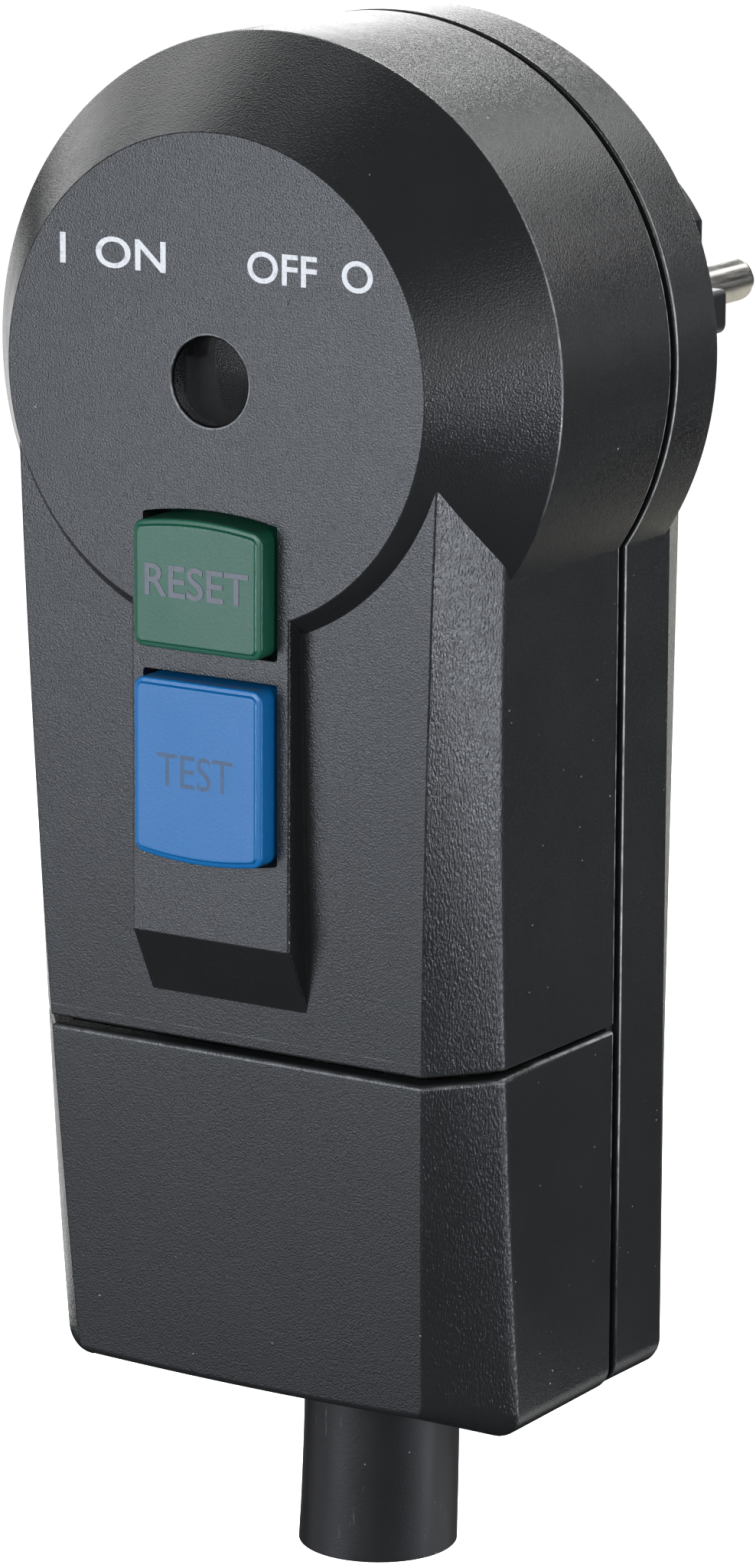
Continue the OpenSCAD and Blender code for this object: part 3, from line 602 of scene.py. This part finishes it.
def paint_edge_highlights(nt, co, colour, highlight_lines):
    """Lips and rims painted light as highlights: each is (axis, place, half width, shade, least, most, limits), in part
    millimetres.
    """
    sep = add(nt, "ShaderNodeSeparateXYZ")
    nt.links.new(co.outputs["Object"], sep.inputs[0])
    x, y, z = (math_node(nt, "MULTIPLY", sep.outputs[i], 1000.0) for i in range(3))
    y = math_node(nt, "ADD", y, FACE)
    flat = add(nt, "ShaderNodeCombineXYZ")
    nt.links.new(math_node(nt, "SUBTRACT", x, MID), flat.inputs[0])
    nt.links.new(z, flat.inputs[2])
    far = add(nt, "ShaderNodeVectorMath", operation="LENGTH")
    nt.links.new(flat.outputs[0], far.inputs[0])
    at = {"x": math_node(nt, "ABSOLUTE", x), "y": y, "z": z, "r": far.outputs["Value"]}
    broken = noise(nt, co, 420.0, 5.0, 0.65)
    for axis, place_, half, shade, least, most, limits in highlight_lines:
        off = math_node(nt, "ABSOLUTE", math_node(nt, "SUBTRACT", at[axis], place_))
        mask = spread_range(nt, off, half, half * 0.45, 0.0, 1.0)
        for ax, lo, hi in limits:
            mask = math_node(nt, "MULTIPLY", mask, spread_range(nt, at[ax], lo, hi, 0.0, 1.0))
        mask = math_node(nt, "MULTIPLY", mask, spread_range(nt, broken, 0.38, 0.62, least, most))
        colour = mix(nt, mask, colour, shade)
    return colour


def drawn_sides(nt, co, height, grain, gain):
    """The body's long chamfers have their grain drawn out lengthwise, and deeper."""
    mp = add(nt, "ShaderNodeMapping")
    nt.links.new(co.outputs["Object"], mp.inputs["Vector"])
    mp.inputs["Scale"].default_value = (1.0, 1.0, 0.42)
    n = add(nt, "ShaderNodeTexNoise", Scale=grain * 0.95, Detail=2.0, Roughness=0.55)
    nt.links.new(mp.outputs["Vector"], n.inputs["Vector"])
    long = math_node(nt, "MULTIPLY", n.outputs["Fac"], gain)
    face, place_ = add(nt, "ShaderNodeSeparateXYZ"), add(nt, "ShaderNodeSeparateXYZ")
    nt.links.new(co.outputs["Normal"], face.inputs[0])
    nt.links.new(co.outputs["Object"], place_.inputs[0])
    mask = spread_range(nt, math_node(nt, "ABSOLUTE", face.outputs[0]), 0.52, 0.62, 0.0, 1.0)
    mask = math_node(nt, "MULTIPLY", mask, spread_range(nt, face.outputs[1], -0.12, -0.30, 0.0, 1.0))
    mask = math_node(nt, "MULTIPLY", mask, spread_range(nt, place_.outputs[2], -0.004, -0.006, 0.0, 1.0))
    steep = spread_range(nt, face.outputs[1], -0.60, -0.54, 0.0, 1.0)
    low = spread_range(nt, place_.outputs[2], -0.032, -0.034, 0.0, 1.0)
    mask = math_node(nt, "MULTIPLY", mask, math_node(nt, "MAXIMUM", steep, low))
    height = math_node(nt, "MULTIPLY_ADD", mask, math_node(nt, "SUBTRACT", long, height), height)
    # the chamfer's outer edge, painted light in specks as a highlight
    side = math_node(nt, "ABSOLUTE", face.outputs[0])
    edge = math_node(nt, "MULTIPLY", spread_range(nt, side, 0.94, 0.955, 0.0, 1.0), spread_range(nt, side, 0.985, 0.972, 0.0, 1.0))
    edge = math_node(nt, "MULTIPLY", edge, spread_range(nt, face.outputs[1], -0.08, -0.14, 0.0, 1.0))
    edge = math_node(nt, "MULTIPLY", edge, spread_range(nt, place_.outputs[2], -0.045, -0.065, 0.0, 1.0))
    return height, math_node(nt, "MULTIPLY", edge, spread_range(nt, n.outputs["Fac"], 0.45, 0.65, 0.0, 0.8))


def plastic(name, base, rough=(0.42, 0.54), grain=2600.0, depth=2.4e-5, blotch=0.12, dust=0.0, edge=0.0, spec=0.5, highlight_lines=(), drawn=0.0, scuff=0.0):
    """Moulded plastic: mottled colour, spark-eroded grain, uneven gloss, specks of dust, convex edges lightened partly
    as rubbed wear and partly as painted highlight, and painted highlights along the chamfers' outer edges and along
    given lips and rims.
    """
    m, nt, b = nodes_of(name)
    co = add(nt, "ShaderNodeTexCoord")
    big = noise(nt, co, 55.0, 4.0)
    colour = ramp(nt, big, [(0.3, tone(base, 1 - blotch)), (0.7, tone(base, 1 + blotch))])
    fine = noise(nt, co, grain, 1.5, 0.5)
    height = math_node(nt, "MULTIPLY_ADD", noise(nt, co, grain * 0.3, 2.0), 0.15, fine)
    if drawn > 0:
        height, chamfer_edge_highlight = drawn_sides(nt, co, height, grain, drawn)
        # painted highlight: light specks along the chamfers' outer edges
        colour = mix(nt, chamfer_edge_highlight, colour, (0.30, 0.305, 0.31))
    colour = mix(nt, spread_range(nt, fine, 0.35, 0.7, 0.0, 0.22), colour, tone(base, 1.5))
    rgh = spread_range(nt, noise(nt, co, 160.0, 5.0), 0.3, 0.7, rough[0], rough[1])
    # convex edges lightened, partly rubbed wear and partly painted highlight where light catches the rounds
    if edge > 0:
        bev = add(nt, "ShaderNodeBevel", samples=4, Radius=0.00045)
        geo = add(nt, "ShaderNodeNewGeometry")
        dot = add(nt, "ShaderNodeVectorMath", operation="DOT_PRODUCT")
        nt.links.new(bev.outputs["Normal"], dot.inputs[0])
        nt.links.new(geo.outputs["Normal"], dot.inputs[1])
        edge_rub_and_highlight = spread_range(nt, dot.outputs["Value"], 0.998, 0.93, 0.0, 1.0)
        edge_rub_and_highlight = math_node(nt, "MULTIPLY", edge_rub_and_highlight, spread_range(nt, noise(nt, co, 700.0, 4.0), 0.35, 0.65, 0.0, edge))
        colour = mix(nt, edge_rub_and_highlight, colour, tone(base, 3.0))
    if dust > 0:
        sp = add(nt, "ShaderNodeTexVoronoi", Scale=600.0)
        nt.links.new(co.outputs["Object"], sp.inputs["Vector"])
        pick = add(nt, "ShaderNodeSeparateColor")
        nt.links.new(sp.outputs["Color"], pick.inputs[0])
        spot = spread_range(nt, sp.outputs["Distance"], 0.06, 0.035, 0.0, 1.0)
        spot = math_node(nt, "MULTIPLY", spot, spread_range(nt, pick.outputs[0], 1.0 - dust, 1.0 - dust + 0.01, 0.0, 0.8))
        colour = mix(nt, spot, colour, (0.55, 0.55, 0.56))
    if scuff > 0:
        mp = add(nt, "ShaderNodeMapping")
        nt.links.new(co.outputs["Object"], mp.inputs["Vector"])
        mp.inputs["Scale"].default_value, mp.inputs["Rotation"].default_value = (1.0, 1.0, 0.09), (0.12, 0.06, 0.0)
        n = add(nt, "ShaderNodeTexNoise", Scale=1700.0, Detail=3.0, Roughness=0.6)
        nt.links.new(mp.outputs["Vector"], n.inputs["Vector"])
        colour = mix(nt, spread_range(nt, n.outputs["Fac"], 0.66, 0.74, 0.0, scuff), colour, (0.13, 0.13, 0.13))
    # painted highlights along the lips and rims listed for the shell
    if highlight_lines:
        colour = paint_edge_highlights(nt, co, colour, highlight_lines)
    nt.links.new(colour, b.inputs["Base Color"])
    nt.links.new(rgh, b.inputs["Roughness"])
    bump = add(nt, "ShaderNodeBump", Strength=1.0, Distance=depth)
    nt.links.new(height, bump.inputs["Height"])
    nt.links.new(bump.outputs["Normal"], b.inputs["Normal"])
    b.inputs["Specular IOR Level"].default_value = spec
    return m


def metal(name, base, rough=(0.18, 0.32), drawn=(300.0, 300.0, 300.0), depth=4e-6, tarnish=0.18):
    """Plated or drawn metal with fine drawing marks and a faint uneven tarnish."""
    m, nt, b = nodes_of(name)
    co = add(nt, "ShaderNodeTexCoord")
    mp = add(nt, "ShaderNodeMapping")
    nt.links.new(co.outputs["Object"], mp.inputs["Vector"])
    mp.inputs["Scale"].default_value = drawn
    n = add(nt, "ShaderNodeTexNoise", Scale=12.0, Detail=6.0, Roughness=0.65)
    nt.links.new(mp.outputs["Vector"], n.inputs["Vector"])
    patch = noise(nt, co, 260.0, 4.0)
    nt.links.new(ramp(nt, patch, [(0.3, tone(base, 1 - tarnish)), (0.65, base)]), b.inputs["Base Color"])
    nt.links.new(spread_range(nt, n.outputs["Fac"], 0.3, 0.7, rough[0], rough[1]), b.inputs["Roughness"])
    bump = add(nt, "ShaderNodeBump", Strength=0.6, Distance=depth)
    nt.links.new(n.outputs["Fac"], bump.inputs["Height"])
    nt.links.new(bump.outputs["Normal"], b.inputs["Normal"])
    b.inputs["Metallic"].default_value = 1.0
    return m


def ink(name, base):
    """Thin printed ink, a little uneven, with the moulding's grain showing through."""
    m, nt, b = nodes_of(name)
    co = add(nt, "ShaderNodeTexCoord")
    n = noise(nt, co, 1500.0, 4.0, 0.7)
    nt.links.new(ramp(nt, n, [(0.34, tone(base, 0.72)), (0.5, base)]), b.inputs["Base Color"])
    nt.links.new(spread_range(nt, n, 0.3, 0.7, 0.5, 0.7), b.inputs["Roughness"])
    bump = add(nt, "ShaderNodeBump", Strength=1.0, Distance=1.2e-5)
    nt.links.new(noise(nt, co, 2600.0, 3.0), bump.inputs["Height"])
    nt.links.new(bump.outputs["Normal"], b.inputs["Normal"])
    return m


def lens_glass():
    """Smoked clear window, faintly dusty."""
    m, nt, b = nodes_of("lens_clear")
    co = add(nt, "ShaderNodeTexCoord")
    n = noise(nt, co, 900.0, 4.0)
    nt.links.new(ramp(nt, n, [(0.3, (0.42, 0.425, 0.43)), (0.7, (0.47, 0.475, 0.48))]), b.inputs["Base Color"])
    nt.links.new(spread_range(nt, n, 0.3, 0.75, 0.10, 0.18), b.inputs["Roughness"])
    b.inputs["Transmission Weight"].default_value = 1.0
    b.inputs["IOR"].default_value = 1.14
    return m


def drum_paint():
    """Indicator flag: black where it stands behind the window at rest, red further round."""
    m, nt, b = nodes_of("drum_red")
    co = add(nt, "ShaderNodeTexCoord")
    sep = add(nt, "ShaderNodeSeparateXYZ")
    nt.links.new(co.outputs["Object"], sep.inputs[0])
    n = noise(nt, co, 500.0, 3.0)
    red = ramp(nt, n, [(0.3, (0.42, 0.03, 0.025)), (0.7, (0.55, 0.05, 0.04))])
    edge = spread_range(nt, sep.outputs["Z"], 0.0056, 0.0058, 0.0, 1.0)
    nt.links.new(mix(nt, edge, (0.02, 0.02, 0.02), red), b.inputs["Base Color"])
    nt.links.new(spread_range(nt, n, 0.3, 0.7, 0.4, 0.55), b.inputs["Roughness"])
    bump = add(nt, "ShaderNodeBump", Strength=1.0, Distance=1e-5)
    nt.links.new(noise(nt, co, 2200.0, 2.0), bump.inputs["Height"])
    nt.links.new(bump.outputs["Normal"], b.inputs["Normal"])
    return m


MATERIALS = {
    "shell_black": plastic("shell_black", (0.0195, 0.0208, 0.0214), (0.20, 0.26), 5200.0, 4.6e-5, 0.08, 0.07, 0.35),
    "insert_black": plastic("insert_black", (0.018, 0.019, 0.020), (0.26, 0.34), 6400.0, 1.4e-5, 0.10, 0.03, 0.3),
    "rubber_black": plastic("rubber_black", (0.0125, 0.0125, 0.013), (0.40, 0.50), 3600.0, 1.8e-5, 0.25, 0.45, scuff=0.8),
    "button_green": plastic("button_green", (0.012, 0.102, 0.058), (0.29, 0.36), 5200.0, 1.5e-5, 0.05),
    "button_blue": plastic("button_blue", (0.005, 0.147, 0.410), (0.29, 0.36), 5200.0, 1.5e-5, 0.05),
    "lens_clear": lens_glass(),
    "nickel": metal("nickel", (0.80, 0.78, 0.74), (0.14, 0.26), (500.0, 20.0, 500.0), 3e-6, 0.15),
    "brass": metal("brass", (0.72, 0.53, 0.22), (0.22, 0.38), (300.0, 60.0, 300.0), 4e-6, 0.25),
    "steel": metal("steel", (0.60, 0.60, 0.60), (0.25, 0.42), (300.0, 300.0, 300.0), 5e-6, 0.2),
    "spring_steel": metal("spring_steel", (0.50, 0.50, 0.51), (0.25, 0.4)),
    "soft_iron": metal("soft_iron", (0.42, 0.42, 0.44), (0.35, 0.5), (200.0, 200.0, 40.0), 8e-6, 0.25),
    "frame_ivory": plastic("frame_ivory", (0.68, 0.65, 0.56), (0.4, 0.5), 2400.0, 1.2e-5, 0.05),
    "carrier_red": plastic("carrier_red", (0.40, 0.05, 0.04), (0.38, 0.48), 2400.0, 1.2e-5, 0.08),
    "drum_red": drum_paint(),
    "copper": metal("copper", (0.75, 0.38, 0.22), (0.25, 0.4), (900.0, 900.0, 900.0), 8e-6, 0.3),
    "board_green": plastic("board_green", (0.02, 0.14, 0.06), (0.25, 0.35), 1500.0, 0.8e-5, 0.15),
    "core_grey": plastic("core_grey", (0.10, 0.10, 0.11), (0.5, 0.65), 1800.0, 2.0e-5, 0.15),
    "chip_black": plastic("chip_black", (0.022, 0.022, 0.022), (0.45, 0.6), 3000.0, 1.5e-5, 0.15),
    "component_blue": plastic("component_blue", (0.03, 0.09, 0.30), (0.2, 0.3), 900.0, 1.2e-5, 0.12),
    "component_tan": plastic("component_tan", (0.55, 0.43, 0.26), (0.25, 0.35), 900.0, 1.2e-5, 0.12),
    "wire_brown": plastic("wire_brown", (0.16, 0.07, 0.03), (0.4, 0.5), 1500.0, 0.8e-5, 0.12),
    "wire_blue": plastic("wire_blue", (0.04, 0.12, 0.42), (0.4, 0.5), 1500.0, 0.8e-5, 0.12),
    "wire_green": plastic("wire_green", (0.18, 0.36, 0.04), (0.4, 0.5), 1500.0, 0.8e-5, 0.12),
}


def shell(name, highlight_lines):
    return plastic(name, (0.0195, 0.0208, 0.0214), (0.20, 0.26), 5200.0, 4.6e-5, 0.08, 0.07, 0.35, highlight_lines=highlight_lines, drawn=2.0)


# painted highlights: the shells' lips, window rim, cone edge, cover top edge and a witness line are lightened where
# light would catch their rounds
LIP_HIGHLIGHT, PALE_HIGHLIGHT, MILKY_HIGHLIGHT = (0.54, 0.54, 0.53), (0.40, 0.41, 0.42), (0.30, 0.31, 0.31)
FRONT_LOOK = shell("shell_front_black", [
    ("y", FRONT_EDGE - 0.20, 0.15, LIP_HIGHLIGHT, 0.1, 1.0, [("z", 22.0, 8.0)]),
    ("y", CONE + 0.03, 0.15, PALE_HIGHLIGHT, 0.25, 1.0, [("r", 33.2, 33.5), ("z", -14.0, -5.0), ("z", 18.0, 8.0)]),
    ("r", WINDOW_R + 0.08, 0.12, PALE_HIGHLIGHT, 0.1, 0.8, [("y", 0.20, 0.14)]),
    ("z", BULK_Z + 1.3, 0.10, MILKY_HIGHLIGHT, 0.0, 0.22, [("y", 4.6, 4.2)]),
])
COVER_LOOK = shell("shell_cover_black", [
    ("z", COVER_Z - 0.36, 0.24, MILKY_HIGHLIGHT, 0.0, 0.30, [("y", 13.0, 12.0)]),
    ("z", COVER_Z + 0.02, 0.15, PALE_HIGHLIGHT, 0.15, 0.8, [("y", 16.0, 20.0)]),
    ("y", FRONT_EDGE - 0.20, 0.15, LIP_HIGHLIGHT, 0.0, 0.8, [("z", -95.0, -80.0)]),
])
REAR_LOOK = shell("shell_rear_black", [
    ("y", REAR_EDGE + 0.20, 0.13, LIP_HIGHLIGHT, 0.45, 1.0, [("z", 24.0, 6.0), ("z", -95.0, -80.0)]),
])


def dress(ob, mat):
    ob.data.materials.clear()
    ob.data.materials.append(mat)


for part in frame["record"]["subparts"]:
    ob = frame["nodes"][part["node"]]
    slot = MATERIALS[part["material_slot"]]
    for s in ob.material_slots:
        s.material = slot


# ------------------------------------------------------------------ pieces
def place(ob, slot, body, *nodes, mat=None):
    dress(ob, mat or MATERIALS[slot])
    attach(ob, body)
    if nodes:
        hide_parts(*nodes)
    return ob


place(build_front(), "shell_black", "housing", "front_housing", mat=FRONT_LOOK)
place(build_cover(), "shell_black", "housing", "terminal_cover", mat=COVER_LOOK)
place(build_rear(), "shell_black", "housing", "rear_housing", mat=REAR_LOOK)
place(build_insert(), "insert_black", "housing", "plug_insert")
place(build_sleeve(), "rubber_black", "housing", "cable_sleeve")
place(build_lens(), "lens_clear", "housing", "window_lens")
place(build_button(True, RESET_Z, 14.7, "cap_reset"), "button_green", "reset_button", "reset_button")
place(build_button(False, TEST_Z, 25.0, "cap_test"), "button_blue", "test_button", "test_button")

# springs: node, height, start, length, radius, turns, joint, fixed depth, share kept
for node, z, y0, length, r, turns, joint, stop, keep in (
    ("reset_spring", RESET_Z, 6.65, 5.3, 3.6, 4, "reset_press", 12.0, 0.438),
    ("test_spring", TEST_Z, 6.65, 5.3, 3.6, 4, "test_press", 12.0, 0.625),
    ("carrier_spring", -26.0, 18.05, 6.4, 3.7, 5, "carrier_slide", 24.5, 0.533),
):
    coil = place(build_spring("coil_" + node, z, y0, length, r, 0.35, turns), "spring_steel", "housing", node)
    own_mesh(coil)

white_ink = ink("ink_white", (0.86, 0.88, 0.90))
grey_ink = ink("ink_grey", (0.190, 0.200, 0.235))
dark_ink = ink("ink_slate", (0.085, 0.150, 0.255))
for name, text, x0, x1 in (("print_on", "I  ON", -18.5, -5.6), ("print_off", "OFF  O", 4.2, 19.0)):
    place(lettering(name, text, x0, x1, 10.45, 13.65, 0.0, 0.012, 0.012), "shell_black", "housing", mat=white_ink)
place(lettering("print_reset", "RESET", -6.45, 6.05, -21.85, -18.5, -CAP_OUT, 0.06, 0.012), "button_green", "reset_button", mat=grey_ink)
place(lettering("print_test", "TEST", -5.05, 4.15, -41.35, -37.85, -CAP_OUT, 0.012, 0.0), "button_blue", "test_button", mat=dark_ink)


# ------------------------------------------------------------------ camera
cam = bpy.data.cameras.new("camera")
cam.sensor_fit, cam.sensor_width, cam.lens = "AUTO", 36.0, 36.0 * 9033.1 / 2048.0
cam.clip_start, cam.clip_end = 0.05, 60.0
camera = bpy.data.objects.new("camera", cam)
scene.collection.objects.link(camera)
fwd = Vector((-0.52605, 0.82036, -0.22422)).normalized()
right = Vector((0.84126, 0.54062, 0.00427))
right = (right - fwd * right.dot(fwd)).normalized()
up = right.cross(fwd)
m = Matrix((right, up, -fwd)).transposed().to_4x4()
m.translation = Vector((0.3817, -0.6343, 0.11567))
camera.matrix_world = m
scene.camera = camera

# ------------------------------------------------------- floor and lights
def white_stage():
    """Plain white floor that runs up into a round white backdrop."""
    n, prof = 96, [(0.0, -0.27), (9.0, -0.27), (10.6, 0.2), (11.2, 1.8), (11.2, 7.0), (9.0, 9.5), (0.0, 10.4)]
    me = bpy.data.meshes.new("floor")
    verts, faces, rings = [], [], []
    for r, z in prof:
        if r == 0.0:
            rings.append([len(verts)])
            verts.append((0, 0, z))
        else:
            rings.append(list(range(len(verts), len(verts) + n)))
            verts += [(r * math.cos(2 * math.pi * i / n), r * math.sin(2 * math.pi * i / n), z) for i in range(n)]
    for p, q in zip(rings, rings[1:]):
        for i in range(n):
            j = (i + 1) % n
            a = [p[0]] if len(p) == 1 else [p[i], p[j]]
            b = [q[0]] if len(q) == 1 else [q[j], q[i]]
            faces.append(a + b)
    me.from_pydata(verts, [], faces)
    for f in me.polygons:
        f.use_smooth = True
    ob = bpy.data.objects.new("floor", me)
    scene.collection.objects.link(ob)
    mat, nt, b = nodes_of("floor_white")
    b.inputs["Base Color"].default_value = (0.9, 0.9, 0.9, 1.0)
    b.inputs["Roughness"].default_value = 0.9
    b.inputs["Emission Color"].default_value = (1.0, 1.0, 1.0, 1.0)
    b.inputs["Emission Strength"].default_value = 1.0
    dress(ob, mat)
    # the stage is a backdrop only: the softboxes light the part
    ob.visible_diffuse = ob.visible_glossy = ob.visible_transmission = ob.visible_shadow = False
    return ob


white_stage()
TARGET = Vector((0.0, -0.045, -0.02))


def softbox(name, direction, dist, w, h, radiance, target=TARGET, face=None):
    lt = bpy.data.lights.new(name, "AREA")
    lt.shape, lt.size, lt.size_y = "RECTANGLE", w, h
    lt.energy = radiance * 4.0 * w * h
    ob = bpy.data.objects.new(name, lt)
    scene.collection.objects.link(ob)
    d = Vector(direction).normalized()
    ob.location = target + d * dist
    ob.rotation_euler = (Vector(face) if face else d).to_track_quat("Z", "Y").to_euler()
    ob.visible_camera = False
    return ob


# softboxes around the part: name, direction, distance, side, strength, colour
WARM, PLAIN, COOL = (1.0, 0.96, 0.84), (1.0, 1.0, 1.0), (0.92, 0.965, 1.07)
for name, direction, dist, side, power, tint in (
    ("top_back", (-0.16, 0.58, 0.80), 1.0, 0.44, 8.2, PLAIN),
    ("front_left", (-0.34, -0.94, 0.11), 1.0, 0.44, 6.3, COOL),
    ("front_high", (0.21, -0.94, 0.27), 1.0, 0.44, 4.8, PLAIN),
    ("right_back_high", (0.67, 0.56, 0.48), 1.0, 0.44, 4.7, PLAIN),
    ("card_right_low", (0.98, 0.07, -0.16), 0.30, 0.034, 38.0, COOL),
    ("back_left", (-0.38, 0.91, 0.14), 1.0, 0.44, 2.9, PLAIN),
    ("right", (0.99, -0.08, -0.08), 1.0, 0.13, 25.0, COOL),
    ("back_high", (0.23, 0.73, 0.64), 1.0, 0.44, 1.6, PLAIN),
    ("right_low", (0.91, 0.25, -0.33), 1.0, 0.11, 21.0, COOL),
    ("left_high", (-0.66, 0.27, 0.70), 1.0, 0.44, 1.9, PLAIN),
    ("card_right", (0.94, -0.25, 0.22), 0.32, 0.12, 1.4, PLAIN),
    ("left_back", (-0.78, 0.55, 0.30), 1.0, 0.44, 1.4, PLAIN),
    ("front_left_low", (-0.51, -0.81, -0.30), 1.0, 0.44, 1.22, COOL),
    ("above", (-0.22, 0.20, 0.95), 1.0, 0.44, 1.1, PLAIN),
    ("card_front_left", (-0.54, -0.82, -0.19), 0.37, 0.12, 1.05, COOL),
    ("left_low", (-0.92, -0.32, -0.22), 1.0, 0.30, 1.3, PLAIN),
    ("right_back_low", (0.82, 0.53, -0.22), 1.0, 0.08, 4.8, PLAIN),
    ("right_back", (0.62, 0.78, 0.05), 1.0, 0.09, 3.9, PLAIN),
    ("back", (0.0, 0.975, -0.20), 1.0, 0.26, 0.7, PLAIN),
    ("key_high", (0.33, 0.64, 0.69), 1.0, 0.10, 16.0, PLAIN),
    ("left_back_low", (-0.70, 0.67, -0.22), 1.0, 0.34, 1.0, PLAIN),
):
    softbox(name, direction, dist, side, side, power).data.color = tint
# card low behind the pins
softbox("card_back_low", (-0.022, 0.145, -0.046), 0.1537, 0.148, 0.086, 0.41, face=(0.0, 1.0, 0.0)).data.color = WARM
# card beside the sleeve, below the body
softbox("card_sleeve", (0.068, 0.085, -0.150), 0.1854, 0.06, 0.044, 0.75, face=(0.6, 0.77, -0.22))

world = bpy.data.worlds.new("world")
scene.world = world
world.use_nodes = True
bg = world.node_tree.nodes["Background"]
bg.inputs["Color"].default_value = (0.9, 0.95, 1.0, 1.0)
bg.inputs["Strength"].default_value = 0.02
